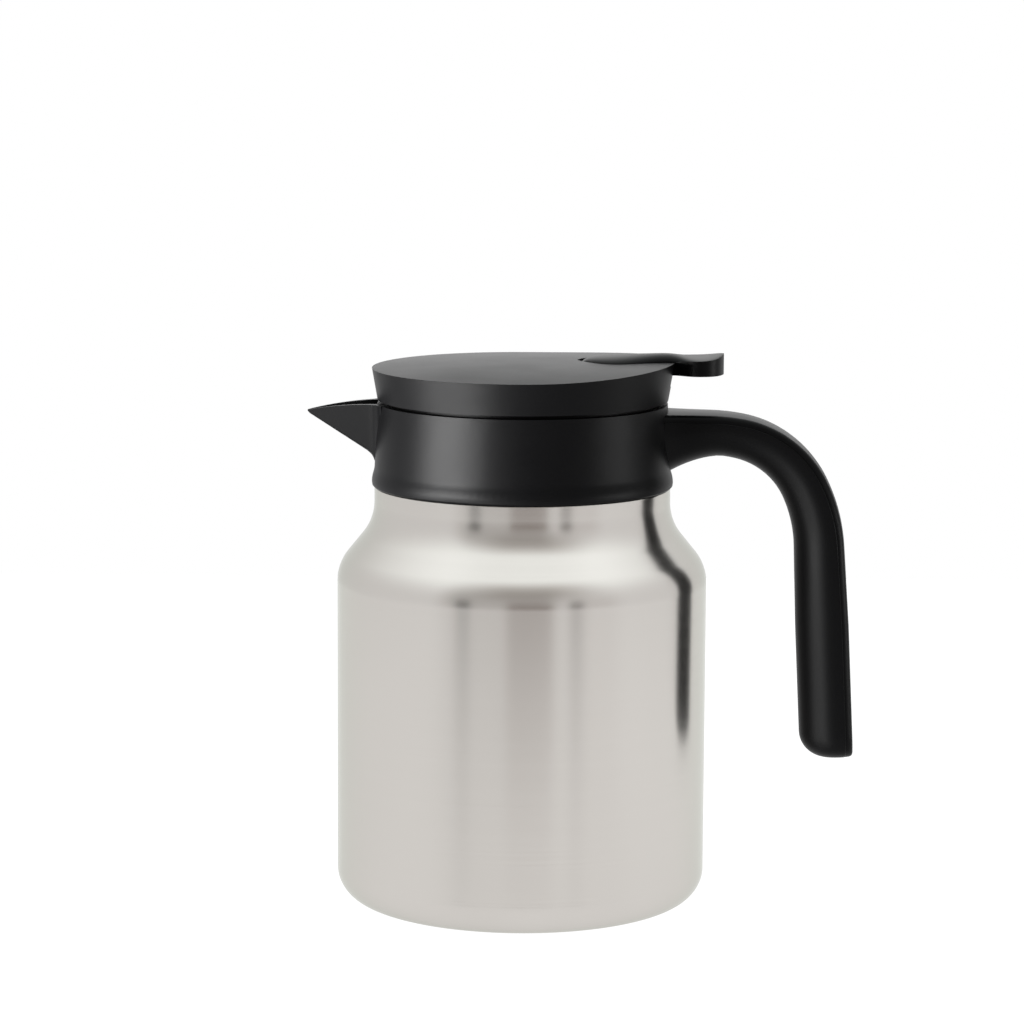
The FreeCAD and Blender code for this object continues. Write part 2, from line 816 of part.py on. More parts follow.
def blendOut(away, radius):
    """How far a round blend still stands out at a distance from the wall that it leaves."""
    if float(away) <= 0:
        return radius
    if float(away) >= float(radius):
        return 0 * radius
    left = radius - away
    return radius - root(radius * radius - left * left)


def addSpout(body):
    top = S["collarTop"] + S["collarOver"]
    reach = S["spoutReach"]
    flank = S["spoutFlankAngle"]
    blend = S["spoutBlendRadius"]
    slope = sine(S["spoutKeelAngle"]) / cosine(S["spoutKeelAngle"])
    rootX = S["chamberRadius"] + S["spoutRootInset"]
    flankX = S["collarTopRadius"] - S["spoutRootInset"]
    keelX = S["collarWaistRadius"]
    tipBottom = S["spoutTipHeight"] - S["spoutTipRadius"]

    def beakAt(x):
        """The plain beak's bottom and keel radius at a distance from the axis."""
        share = (x - rootX) / (reach - rootX)
        keel = S["spoutKeelRadius"] + (S["spoutTipRadius"] - S["spoutKeelRadius"]) * share
        return tipBottom - (reach - x) * slope, keel

    flare = []
    for share in FLARE_SHARES:
        x = rootX + (keelX + blend - rootX) * share
        bottom, keel = beakAt(x)
        drop = blendOut(x - keelX, blend)
        wide = blendOut(x - flankX, blend)
        flare.append((-x, beakSection(bottom - drop, top, keel + wide / 2, flank, wide)))
    lofted(body, "BeakFlare", flare, ruled=False)
    startX = keelX + blend
    tipX = reach - S["spoutTipRadius"]
    endKeel = S["spoutTipRadius"] / 2
    bottom, keel = beakAt(startX)
    tipLow, tipKeel = beakAt(tipX)
    lofted(body, "Beak", [
        (-startX, beakSection(bottom, top, keel, flank)),
        (-tipX, beakSection(tipLow, top, tipKeel, flank)),
        (-reach, beakSection(tipBottom + endKeel, top, endKeel, flank)),
    ])
    over = S["overrun"]
    top = S["collarTop"]
    tipTop = top - S["spoutTipDrop"]
    flat = S["collarTopRadius"] - S["collarOver"] / 2
    pocketed(body, "BeakTop", "XZ_Plane", [
        (-(reach + over), tipTop),
        (-reach, tipTop),
        (-flat, top, -S["spoutTopRadius"]),
        (reach, top),
        (reach, top + over),
        (-(reach + over), top + over),
    ], 4 * reach, both=True)


def cutChannel(body):
    flank = S["channelFlankAngle"]
    top = S["collarTop"] + S["overrun"]
    floor = S["channelFloor"]
    keel = S["channelKeelRadius"]
    tipX = S["spoutReach"] - S["channelTipInset"]
    tipFloor = S["spoutTipHeight"] - S["spoutTipRadius"] / 3
    tipKeel = S["spoutTipRadius"] / 2
    innerX = S["chamberRadius"] - S["spoutRootInset"] * 3
    slope = (tipFloor - floor) / (tipX - innerX)
    outerX = S["collarTopRadius"]
    outerFloor = floor + (outerX - innerX) * slope
    share = (outerX - innerX) / (tipX - innerX)
    outerKeel = keel + (tipKeel - keel) * share
    lofted(body, "Window", [
        (-innerX, beakSection(floor, S["channelTop"], keel, flank)),
        (-outerX, beakSection(outerFloor, S["channelTop"], outerKeel, flank)),
    ], cut=True)
    lofted(body, "Channel", [
        (-outerX, beakSection(outerFloor, top, outerKeel, flank)),
        (-tipX, beakSection(tipFloor, top, tipKeel, flank)),
    ], cut=True)


# Handle: D-shaped sections along one spine of straight runs and tangent arcs.
def spineStations():
    """Each station of the spine: its place in X and Z, its turn, run, and flare shares."""
    start = S["armPitch"]
    x = S["armStart"]
    z = S["armHeight"]
    stations = []
    for share, dropShare, widthShare in ROOT_SHARES:
        along = S["armLength"] * share
        stations.append((x + along * cosine(start), z - along * sine(start), start, along,
                         dropShare, widthShare))
    x, z, run = stations[-1][0], stations[-1][1], stations[-1][3]
    for radius, angle, shares in (
        (S["kneeRadius"], S["kneeAngle"], KNEE_SHARES),
        (S["bendRadius"], S["bendAngle"], BEND_SHARES),
        (S["hipRadius"], S["hipAngle"], HIP_SHARES),
    ):
        for share in shares:
            turn = start + angle * share
            stations.append((
                x + radius * (sine(turn) - sine(start)),
                z + radius * (cosine(turn) - cosine(start)),
                turn,
                run + radius * angle * share * RADIANS_SHARE,
                0.0,
                0.0,
            ))
        x, z, start, run = stations[-1][:4]
    for share in LEG_SHARES:
        along = S["legLength"] * share
        stations.append((x + along * cosine(start), z - along * sine(start), start,
                         run + along, 0.0, 0.0))
    return stations


def spineSketch(body, name, station):
    """A sketch square to the spine: its x axis is +Y, its y axis points to the outside."""
    x, z, turn = station[:3]
    sketch = body.newObject("Sketcher::SketchObject", name)
    sketch.AttachmentSupport = [(originPart(body, "YZ_Plane"), "")]
    sketch.MapMode = "FlatFace"
    sketch.AttachmentOffset = FreeCAD.Placement(
        FreeCAD.Vector(0, float(z), float(x)),
        FreeCAD.Rotation(FreeCAD.Vector(1, 0, 0), float(turn)),
    )
    bind(sketch, "AttachmentOffset.Base.z", x)
    bind(sketch, "AttachmentOffset.Base.y", z)
    bind(sketch, "AttachmentOffset.Rotation.Angle", turn)
    return sketch


def handleSizes(station, full):
    """Outer and inner half-thickness, rounding depth and half-width at a station."""
    growth = station[3] / full
    if float(growth) > 1:
        growth = full / full
    outer = S["armOuterHalf"] + (S["legOuterHalf"] - S["armOuterHalf"]) * growth
    inner = S["armInnerHalf"] + (S["legInnerHalf"] - S["armInnerHalf"]) * growth
    inner = inner + (S["rootDrop"] - S["armInnerHalf"]) * station[4]
    depth = S["armRound"] + (S["handleHalfWidth"] - S["armRound"]) * growth
    depth = depth + (S["rootDrop"] - S["armInnerHalf"]) * station[4]
    width = S["handleHalfWidth"] + (S["rootHalfWidth"] - S["handleHalfWidth"]) * station[5]
    return outer, inner, depth, width


def handleLoft(body, name, section):
    stations = spineStations()
    full = stations[-1][3] - S["legLength"] * FULL_GROWTH_SHARE
    sketches = []
    for number, station in enumerate(stations):
        sketch = spineSketch(body, "%sSection%d" % (name, number), station)
        outline(sketch, section(*handleSizes(station, full)))
        sketches.append(sketch)
    feature = body.newObject("PartDesign::AdditiveLoft", name)
    feature.Profile = sketches[0]
    feature.Sections = sketches[1:]
    cutSaddle(body)
    roundEnd(body, stations[-1])
    return feature


def gripSection(outer, inner, depth, width):
    flat = outer - S["coverThickness"] - S["creaseGap"]
    side = depth - inner
    bow = (width * width + depth * depth) / (depth * 2)
    return [(width, side, bow), (width, flat), (-width, flat), (-width, side), (0, -inner, bow)]


def coverSection(outer, inner, depth, width):
    low = outer - S["coverThickness"]
    edge = S["coverEdgeRadius"]
    half = width - S["coverInset"]
    flat = half - edge
    crown = (flat * flat + S["coverCrown"] * S["coverCrown"]) / (S["coverCrown"] * 2)
    top = outer - S["coverCrown"]
    return [(half, low), (half, top - edge), (flat, top, edge), (-flat, top, crown),
            (-half, top - edge, edge), (-half, low)]


def cutSaddle(body):
    """The root's end is hollowed to the collar's outside, a seat gap clear of it."""
    high = S["collarTop"] + S["collarOver"]
    corners = [(0, S["neckTop"])] + collarOutside(S["seatGap"]) + [(0, high)]
    turned(body, "Saddle", corners, cut=True)


def roundEnd(body, station):
    """Rounds the leg's end, as seen on its flat face and from the side."""
    x, z, turn = station[:3]
    sketch = body.newObject("Sketcher::SketchObject", "EndPlanSketch")
    sketch.AttachmentSupport = [(originPart(body, "YZ_Plane"), "")]
    sketch.MapMode = "FlatFace"
    sketch.AttachmentOffset = FreeCAD.Placement(
        FreeCAD.Vector(0, float(z), float(x)),
        FreeCAD.Rotation(FreeCAD.Vector(1, 0, 0), float(turn) - QUARTER_TURN),
    )
    bind(sketch, "AttachmentOffset.Base.z", x)
    bind(sketch, "AttachmentOffset.Base.y", z)
    bind(sketch, "AttachmentOffset.Rotation.Angle", turn - QUARTER_TURN)
    half = S["handleHalfWidth"]
    corner = S["endPlanRadius"]
    over = S["overrun"]
    for side in (1, -1):
        points = [
            (half * side, corner),
            ((half - corner) * side, 0, -corner * side),
            ((half - corner) * side, -over),
            ((half + over) * side, -over),
            ((half + over) * side, corner),
        ]
        outline(sketch, points)
    plan = body.newObject("PartDesign::Pocket", "EndPlan")
    plan.Profile = sketch
    finish(plan, "EndPlan", S["endCutDepth"], True, False)
    inner = S["legInnerHalf"]
    outer = S["legOuterHalf"]

    def at(along, out):
        """A point measured back up the leg and out from its spine, as X and Z."""
        return (x - along * cosine(turn) + out * sine(turn),
                z + along * sine(turn) + out * cosine(turn))

    big = S["endInnerRadius"]
    small = S["endOuterRadius"]
    zero = 0 * big
    corners = [
        at(big, -inner),
        at(zero, big - inner) + (big,),
        at(-over, big - inner),
        at(-over, -(inner + over)),
        at(big, -(inner + over)),
    ]
    pocketed(body, "EndInner", "XZ_Plane", corners, S["endCutDepth"], both=True)
    corners = [
        at(small, outer),
        at(zero, outer - small) + (small,),
        at(-over, outer - small),
        at(-over, outer + over),
        at(small, outer + over),
    ]
    pocketed(body, "EndOuter", "XZ_Plane", corners, S["endCutDepth"], both=True)


def screwSpots():
    half = S["screwSpacing"] / 2
    return [(half, S["screwHeight"]), (-half, S["screwHeight"])]


def handleGrip():
    body = newBody("HandleGrip")
    handleLoft(body, "Grip", gripSection)
    disc(body, "ScrewHoles", "YZ_Plane", screwSpots(), S["screwRadius"] + S["seatGap"],
         S["screwLength"] + S["seatGap"], lift=S["mouthRadius"], cut=True, back=True)
    keep("handle_grip", body)


def handleCover():
    body = newBody("HandleCover")
    handleLoft(body, "Cover", coverSection)
    keep("handle_cover", body)


def handleScrews():
    body = newBody("HandleScrews")
    disc(body, "Heads", "YZ_Plane", screwSpots(), S["screwHeadRadius"], S["screwHeadHeight"],
         lift=S["mouthRadius"])
    disc(body, "Shanks", "YZ_Plane", screwSpots(), S["screwRadius"], S["screwLength"],
         lift=S["mouthRadius"])
    keep("handle_screws", body)


# Lid shell: a flared wall under a crown that is domed at the front and straight at the back.
def crownDrop(radius):
    """How far the crown falls below its crest at a distance from the middle line."""
    bend = S["lidCrownRadius"]
    return bend - root(bend * bend - radius * radius)


def crownSolid(name, low, crest):
    """Everything under the crown: spun over the front half, run straight over the back."""
    body = newBody(name)
    wide = S["lidRimRadius"] + S["overrun"]
    edge = crest - crownDrop(wide)
    bend = S["lidCrownRadius"]
    turned(body, name + "Front", [(0, low), (wide, low), (wide, edge), (0, crest, bend)],
           plane="YZ_Plane", angle=180.0)
    padded(body, name + "Back", "YZ_Plane",
           [(-wide, low), (wide, low), (wide, edge), (-wide, edge, bend)], wide)
    return body


def joined(kind, name, base, tool):
    thing = doc.addObject(kind, name)
    thing.Base = base
    thing.Tool = tool
    return thing


def onBase(name, base):
    """A body that goes on from a finished solid."""
    body = newBody(name)
    body.BaseFeature = base
    return body


def leverOutline(gap):
    """The lever seen from above, grown by gap: leaf, neck and thumb tab."""
    tip = (S["leverTip"] - gap, 0)
    half = [
        (S["leafShoulder"] - S["leafNose"], S["leafHalfWidth"] - S["leafCheek"] + gap,
         S["leafTipRadius"] + gap),
        (S["leafShoulder"] + S["leafNose"], S["leafHalfWidth"] - S["leafCheek"] + gap,
         S["leafBowRadius"] + gap),
        (S["neckCentre"] - S["neckRun"], S["neckHalfWidth"] + S["neckTaper"] + gap),
        (S["neckCentre"] + S["neckRun"] / 2, S["neckHalfWidth"] + gap,
         -(S["neckCurve"] - gap)),
        (S["tabCentre"] - S["tabNose"], S["tabHalfWidth"] - S["tabCheek"] + gap,
         -(S["tabCurve"] - gap)),
        (S["tabCentre"] + S["tabNose"], S["tabHalfWidth"] - S["tabCheek"] + gap,
         S["tabBowRadius"] + gap),
        (S["tabEnd"] + gap, 0, S["tabEndRadius"] + gap),
    ]
    # The outline runs from the tip along -Y to the tab's end, and mirrored back along +Y.
    lower = [(p[0], -p[1] if isinstance(p[1], Size) else 0) + tuple(p[2:]) for p in half]
    upper = [(p[0], p[1]) + tuple(-r for r in p[2:]) for p in walkedBack([tip] + half)]
    return [upper[-1]] + lower + upper[1:-1]


def lidShell():
    low = S["lidBottom"]
    lean = (S["lidRimRadius"] - S["lidBottomRadius"]) / (S["lidRimHeight"] - low)
    high = S["lidCrest"] + S["overrun"]
    flare = newBody("LidFlare")
    turned(flare, "FlareProfile", [
        (0, low),
        (S["lidBottomRadius"], low),
        (S["lidBottomRadius"] + (high - low) * lean, high),
        (0, high),
    ])
    bore = newBody("LidBore")
    inside = S["lidBottomRadius"] - S["lidWall"]
    turned(bore, "BoreProfile", [(0, low - S["overrun"]), (inside, low - S["overrun"]),
                                 (inside, high), (0, high)])
    crown = crownSolid("LidCrown", low - S["overrun"], S["lidCrest"])
    under = crownSolid("LidUnder", low - 2 * S["overrun"], S["lidCrest"] - S["lidSkin"])
    outer = joined("Part::Common", "LidOuter", flare, crown)
    core = joined("Part::Common", "LidCore", bore, under)
    hollow = joined("Part::Cut", "LidHollow", outer, core)
    doc.recompute()
    body = onBase("LidShell", hollow)
    floorTop = low + S["movingGap"] + S["floorThickness"]
    bossTop = S["lidRimHeight"] - S["movingGap"]
    disc(body, "Bosses", "XY_Plane", lidScrewSpots(), S["bossRadius"], bossTop - floorTop,
         lift=floorTop)
    disc(body, "BossHoles", "XY_Plane", lidScrewSpots(), S["lidScrewRadius"] + S["seatGap"],
         S["lidScrewLength"] - S["floorThickness"] + S["seatGap"], lift=floorTop, cut=True,
         back=True)
    pocketed(body, "LeverOpening", "XY_Plane", leverOutline(S["leverGap"]),
             high - S["notchBottom"], lift=S["notchBottom"], back=True)
    keep("lid_shell", body)


def lidScrewSpots():
    away = S["lidScrewCircle"]
    spots = []
    for angle in LID_SCREW_ANGLES:
        turn = math.radians(angle)
        along, across = away * math.cos(turn), away * math.sin(turn)
        spots.append((along, across if abs(float(across)) > float(S["seatGap"]) else 0))
    return spots


# Lid floor: closes the lid, carries the lever's posts, the stem guide and the spigot.
def floorLevels():
    low = S["lidBottom"] + S["movingGap"]
    return low, low + S["floorThickness"]


def lidFloor():
    body = newBody("LidFloor")
    low, high = floorLevels()
    edge = S["lidBottomRadius"] - S["lidWall"] - S["seatGap"]
    spigot = S["spigotRadius"]
    inner = spigot - S["spigotWall"]
    deep = low - S["spigotDepth"]
    snap = S["snapDepth"]
    snapLow = low - 3 * snap
    turned(body, "FloorProfile", [
        (0, low), (inner, low), (inner, deep), (spigot, deep), (spigot, snapLow - snap),
        (spigot + snap, snapLow), (spigot + snap, snapLow + snap), (spigot, snapLow + 2 * snap),
        (spigot, low), (edge, low), (edge, high), (0, high),
    ])
    stem = [(S["stemX"], 0)]
    disc(body, "SpringSeat", "XY_Plane", stem, S["springSeatRadius"], S["springSeatDepth"],
         lift=low - S["springSeatDepth"])
    guideLow = low - S["springSeatDepth"] - S["guideLength"]
    disc(body, "Guide", "XY_Plane", stem, S["guideRadius"],
         S["springSeatDepth"] + S["guideLength"], lift=guideLow)
    disc(body, "GuideBore", "XY_Plane", stem, S["stemRadius"] + S["runningGap"],
         high - guideLow + S["overrun"], lift=guideLow - S["overrun"] / 2, cut=True, back=True)
    sealRadius = S["stemSealRadius"] + S["stemSealSection"] + S["seatGap"]
    sealDepth = 2 * S["stemSealSection"] + S["seatGap"]
    disc(body, "SealPocket", "XY_Plane", stem, sealRadius, sealDepth, lift=high, cut=True)
    disc(body, "ScrewHoles", "XY_Plane", lidScrewSpots(), S["lidScrewRadius"] + S["seatGap"],
         S["floorThickness"], lift=high, cut=True)
    gap = S["movingGap"]
    inside = S["hubHalfWidth"] + gap
    crown = S["postCrown"]
    half = S["postLength"] / 2
    x, z = S["pivotX"], S["pivotHeight"]
    post = [(x - half, high), (x + half, high), (x + crown, z), (x, z + crown, crown),
            (x - crown, z, crown)]
    for side, name in ((1, "LeftPost"), (-1, "RightPost")):
        lift = inside if side > 0 else -(inside + S["postThickness"])
        padded(body, name, "XZ_Plane", post, S["postThickness"], lift=lift)
    disc(body, "PinHole", "XZ_Plane", [(x, z)], S["pinRadius"] + S["runningGap"] / 2,
         4 * inside, both=True, cut=True)
    keep("lid_floor", body)


def lidScrews():
    body = newBody("LidScrews")
    low = floorLevels()[0]
    disc(body, "Heads", "XY_Plane", lidScrewSpots(), S["lidScrewHeadRadius"],
         S["lidScrewHeadHeight"], lift=low - S["lidScrewHeadHeight"])
    disc(body, "Shanks", "XY_Plane", lidScrewSpots(), S["lidScrewRadius"],
         S["lidScrewLength"] + S["lidScrewHeadHeight"], lift=low - S["lidScrewHeadHeight"])
    keep("lid_screws", body)


# Stopper: the plug that fills the mouth, with the valve seat in its floor and a pour window.
def stopperBody():
    body = newBody("StopperBody")
    low = S["stopperBottom"]
    floorTop = low + S["stopperFloor"]
    plug = S["plugRadius"]
    corner = S["plugCornerRadius"]
    groove = plug - S["lipSealDepth"] - S["seatGap"]
    lipLow = S["lipSealHeight"] - S["seatGap"]
    lipHigh = S["lipSealHeight"] + S["lipSealLength"] + S["seatGap"]
    step = S["ledgeTop"]
    wide = S["stopperRadius"]
    ringHalf = S["ringSealRadius"] + S["seatGap"]
    ringIn = wide - S["ringSealDepth"]
    top = floorLevels()[0]
    bore = wide - S["stopperWall"]
    snap = S["snapDepth"]
    snapLow = top - 3 * snap
    plugBore = plug - S["plugWall"]
    turned(body, "StopperProfile", [
        (0, low), (plug - corner, low), (plug, low + corner, corner),
        (plug, lipLow), (groove, lipLow), (groove, lipHigh), (plug, lipHigh),
        (plug, step), (wide, step),
        (wide, S["ringSealHeight"] - ringHalf), (ringIn, S["ringSealHeight"] - ringHalf),
        (ringIn, S["ringSealHeight"] + ringHalf), (wide, S["ringSealHeight"] + ringHalf),
        (wide, top), (bore, top), (bore, snapLow + 2 * snap),
        (bore + snap, snapLow + snap), (bore + snap, snapLow), (bore, snapLow - snap),
        (bore, step + S["stopperWall"]), (plugBore, step + S["stopperWall"] / 2),
        (plugBore, floorTop + corner), (plugBore - corner, floorTop, -corner), (0, floorTop),
    ])
    stem = [(S["stemX"], 0)]
    disc(body, "SeatRing", "XY_Plane", stem, S["valveHoleRadius"] + S["seatRingWidth"],
         S["seatRingHeight"], lift=floorTop)
    disc(body, "ValveHole", "XY_Plane", stem, S["valveHoleRadius"], 4 * S["stopperFloor"],
         lift=floorTop, cut=True, both=True)
    half = S["windowHalfWidth"]
    pocketed(body, "PourWindow", "YZ_Plane",
             box((-half, S["windowBottom"]), (half, S["windowTop"])), 2 * S["stopperRadius"],
             lift=-S["stopperRadius"] / 2)
    keep("stopper_body", body)


def lipSeal():
    body = newBody("LipSeal")
    inner = S["plugRadius"] - S["lipSealDepth"]
    back = S["plugRadius"] - S["seatGap"]
    tip = S["plugRadius"] + S["lipReach"]
    low = S["lipSealHeight"]
    long = S["lipSealLength"]
    turned(body, "LipProfile", [
        (inner, low), (back, low), (tip, low + long * 0.3), (tip, low + long * 0.38),
        (back, low + long * 0.3), (back, low + long * 0.6), (tip, low + long * 0.9),
        (tip, low + long * 0.98), (back, low + long * 0.9), (back, low + long),
        (inner, low + long),
    ])
    keep("stopper_lip_seal", body)


def torus(label, name, spot, ring, section):
    """A round ring seal lying flat at a spot."""
    seal = doc.addObject("Part::Torus", name)
    bind(seal, "Radius1", ring)
    bind(seal, "Radius2", section)
    for axis, value in zip(("x", "y", "z"), spot):
        if isinstance(value, Size):
            bind(seal, "Placement.Base." + axis, value)
    keep(label, seal)


def ringSeals():
    section = S["ringSealRadius"]
    ring = S["stopperRadius"] - S["ringSealDepth"] + S["seatGap"] / 2 + section
    torus("stopper_ring_seal", "RingSeal", (0, 0, S["ringSealHeight"]), ring, section)
    high = floorLevels()[1]
    centre = high - S["stemSealSection"] - S["seatGap"] / 2
    torus("stem_seal", "StemSeal", (S["stemX"], 0, centre), S["stemSealRadius"],
          S["stemSealSection"])


# Thumb lever: a crowned leaf, a neck and a tab, rocking on a pin, with a fork for the stem.
def crownSection(low, top, bend):
    """A slice across the lever: flat below, crowned above."""
    half = S["leafHalfWidth"] + S["movingGap"] * 4
    edge = top - (bend - root(bend * bend - half * half))
    return [(-half, low), (half, low), (half, edge), (-half, edge, bend)]


def thumbLever():
    prism = newBody("LeverPrism")
    low = S["leverBase"]
    high = S["neckCrest"] + S["overrun"]
    padded(prism, "LeverPlan", "XY_Plane", leverOutline(0 * low), high - low, lift=low)
    crown = newBody("LeverCrown")
    leafBend = S["leafCrownRadius"]
    tabBend = S["tabCrownRadius"]
    deep = low - S["overrun"]
    rise = S["neckCrest"] - S["leafTipHeight"]
    over = S["leverTip"] / 4
    sections = [
        (S["leverTip"] - over, S["leafTipHeight"] - 0.3 * rise, leafBend),
        (S["leverTip"] + over, S["leafTipHeight"] + 0.3 * rise, leafBend),
        (S["leafShoulder"] + over / 2, S["leafCrest"], leafBend),
        (S["pivotX"] + over / 2, S["leafCrest"] + 0.25 * rise, leafBend),
        (S["neckCentre"] - 0.25 * over, S["neckCrest"], leafBend),
        (S["tabCentre"] - 1.5 * over, S["tabDip"] + 0.5 * rise * 0.5, tabBend),
        (S["tabCentre"] - 0.25 * over, S["tabDip"], tabBend),
        (S["tabCentre"] + over, S["tabDip"] + 0.5 * rise, tabBend),
        (S["tabEnd"] + over / 4, S["tabTipHeight"], tabBend),
    ]
    lofted(crown, "Crown", [(x, crownSection(deep, top, bend)) for x, top, bend in sections],
           ruled=False)
    blank = joined("Part::Common", "LeverBlank", crown, prism)
    doc.recompute()
    body = onBase("ThumbLever", blank)
    leaf = S["leafTipHeight"] - S["leafThickness"] + S["leafLift"]
    tip = S["leverTip"] - S["overrun"]
    end = S["tabEnd"] + S["overrun"]
    under = low - S["overrun"]
    pocketed(body, "Underside", "XZ_Plane", [
        (tip, under), (end, under), (end, S["tabBottom"]),
        (S["neckCentre"] - S["neckRun"], S["neckBottom"]),
        (S["pivotX"] + S["hubRadius"], leaf), (tip, leaf),
    ], 4 * S["leafHalfWidth"], both=True)
    wall = S["tabWall"]
    tabIn = S["tabHalfWidth"] - wall
    pocketed(body, "TabHollow", "XY_Plane",
             box((S["tabCentre"] - S["tabNose"], -(tabIn - S["tabCheek"])),
                 (S["tabCentre"] + S["tabNose"] / 2, tabIn - S["tabCheek"])),
             S["tabHollow"] + S["tabBottom"] - low, lift=low, back=True)
    x, z = S["pivotX"], S["pivotHeight"]
    hub = S["hubRadius"]
    wide = 2 * S["hubHalfWidth"]
    disc(body, "Hub", "XZ_Plane", [(x, z)], hub, wide, both=True)
    padded(body, "HubWeb", "XZ_Plane", box((x - hub, z), (x + hub, S["leafTipHeight"])), wide,
           both=True)
    disc(body, "PinBore", "XZ_Plane", [(x, z)], S["pinRadius"] + S["runningGap"], 2 * wide,
         both=True, cut=True)
    stem = S["stemX"]
    peg = S["forkPegRadius"]
    back = S["forkBack"]
    forkLow = S["forkHeight"] - 2 * peg
    padded(body, "Cheeks", "XZ_Plane",
           box((stem - 2 * peg, forkLow), (stem + back, leaf + S["movingGap"])),
           2 * S["forkHalfWidth"], both=True)
    inner = 2 * (S["forkHalfWidth"] - S["forkCheek"])
    pocketed(body, "ForkGap", "XZ_Plane",
             box((stem - S["overrun"], forkLow - peg), (stem + back + peg, leaf)), inner,
             both=True)
    disc(body, "Pegs", "XZ_Plane", [(stem, S["forkHeight"])], peg, 2 * S["forkHalfWidth"],
         both=True)
    slot = 2 * (S["stemRadius"] + S["movingGap"])
    pocketed(body, "StemSlot", "XZ_Plane",
             box((stem - S["overrun"], forkLow - peg), (stem + back + peg, leaf)), slot,
             both=True)
    keep("thumb_lever", body)


def leverPin():
    body = newBody("LeverPin")
    length = 2 * (S["hubHalfWidth"] + S["movingGap"] + S["postThickness"])
    disc(body, "Pin", "XZ_Plane", [(S["pivotX"], S["pivotHeight"])], S["pinRadius"], length,
         both=True)
    keep("lever_pin", body)


# Valve: stem, carrier disc and seal, pressed down by the spring and lifted by the fork.
def valveLevels():
    seat = S["stopperBottom"] + S["stopperFloor"] + S["seatRingHeight"]
    seal = seat + S["sealThickness"]
    return seat, seal, seal + S["discThickness"]


def valveStem():
    body = newBody("ValveStem")
    seat = valveLevels()[0]
    low = seat - S["stemHeadHeight"]
    turned(body, "StemProfile", [
        (0, low), (S["stemHeadRadius"], low), (S["stemHeadRadius"], seat),
        (S["stemRadius"], seat), (S["stemRadius"], S["stemTipHeight"] - S["stemRadius"] / 2),
        (S["stemRadius"] / 2, S["stemTipHeight"]), (0, S["stemTipHeight"]),
    ])
    bind(body, "Placement.Base.x", S["stemX"])
    keep("valve_stem", body)


def washer(label, name, low, high, inner, outer):
    body = newBody(name)
    turned(body, name + "Profile", [(inner, low), (outer, low), (outer, high), (inner, high)])
    bind(body, "Placement.Base.x", S["stemX"])
    keep(label, body)


def valveDisc():
    body = newBody("ValveDisc")
    seat, low, high = valveLevels()
    inner = S["stemRadius"] + S["runningGap"]
    turned(body, "DiscProfile", [
        (inner, low), (S["sealRadius"] - S["sealThickness"] / 2, low),
        (S["sealRadius"] - S["sealThickness"] / 2, high), (S["discHubRadius"], high),
        (S["discHubRadius"], high + S["discHubHeight"]), (inner, high + S["discHubHeight"]),
    ])
    bind(body, "Placement.Base.x", S["stemX"])
    keep("valve_disc", body)


def valveSmallParts():
    seat, seal, top = valveLevels()
    inner = S["stemRadius"] + S["runningGap"]
    washer("valve_seal", "ValveSeal", seat, seal, inner, S["sealRadius"])
    low = S["clipBottom"]
    washer("stem_clip", "StemClip", low, low + S["clipThickness"], inner, S["clipRadius"])


def valveSpring():
    low = valveLevels()[2]
    high = floorLevels()[0] - S["springSeatDepth"]
    wire = S["springWire"] / 2
    helix = doc.addObject("Part::Helix", "SpringLine")
    height = high - low - 2 * wire - 2 * S["seatGap"]
    bind(helix, "Radius", S["springRadius"])
    bind(helix, "Height", height)
    bind(helix, "Pitch", height / S["springTurns"])
    bind(helix, "Placement.Base.x", S["stemX"])
    bind(helix, "Placement.Base.z", low + wire + S["seatGap"])
    section = doc.addObject("Part::Circle", "SpringSection")
    bind(section, "Radius", wire)
    section.Placement.Rotation = FreeCAD.Rotation(FreeCAD.Vector(1, 0, 0), QUARTER_TURN)
    bind(section, "Placement.Base.x", S["stemX"] + S["springRadius"])
    bind(section, "Placement.Base.z", low + wire + S["seatGap"])
    doc.recompute()
    spring = doc.addObject("Part::Sweep", "ValveSpring")
    spring.Sections = [section]
    spring.Spine = (helix, ["Edge%d" % k for k in range(1, len(helix.Shape.Edges) + 1)])
    spring.Solid = True
    spring.Frenet = True
    keep("valve_spring", spring)


def faults():
    """What went wrong in the document, in words; an empty list when all is well."""
    found = []
    for thing in doc.Objects:
        if "Invalid" in thing.State or "Error" in thing.State:
            found.append("%s: %s" % (thing.Name, thing.State))
    for label, thing in PIECES.items():
        if thing.Shape.isNull() or not thing.Shape.isValid():
            found.append("%s has no valid shape" % label)
    return found


for make in (outerShell, innerLiner, basePlate, vacuumPort, getterPill, spoutCollar,
             mouthGasket, handleGrip, handleCover, handleScrews, lidShell, lidFloor, lidScrews,
             stopperBody, lipSeal, ringSeals, thumbLever, leverPin, valveStem, valveDisc,
             valveSmallParts, valveSpring):
    make()
doc.recompute()
problems = faults()
if problems:
    raise SystemExit("\n".join(problems))
os.makedirs("parts", exist_ok=True)
for label, thing in PIECES.items():
    thing.Shape.exportStep("parts/%s.step" % label)
    print("%-18s %10.1f mm3 %3d faces" % (label, thing.Shape.Volume, len(thing.Shape.Faces)))
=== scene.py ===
import json
import math
import bpy
from mathutils import Matrix, Vector


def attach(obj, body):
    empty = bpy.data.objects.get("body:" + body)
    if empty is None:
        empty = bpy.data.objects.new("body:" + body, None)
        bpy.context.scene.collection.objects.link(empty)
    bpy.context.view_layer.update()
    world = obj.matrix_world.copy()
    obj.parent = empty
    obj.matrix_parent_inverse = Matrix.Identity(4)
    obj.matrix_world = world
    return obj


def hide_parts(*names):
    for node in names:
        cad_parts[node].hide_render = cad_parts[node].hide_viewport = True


# A one-litre steel jug with a black collar, hook handle and lever lid,
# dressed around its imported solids.
# Metres, +Z up, origin on the jug's axis at the table, +X points to the handle.

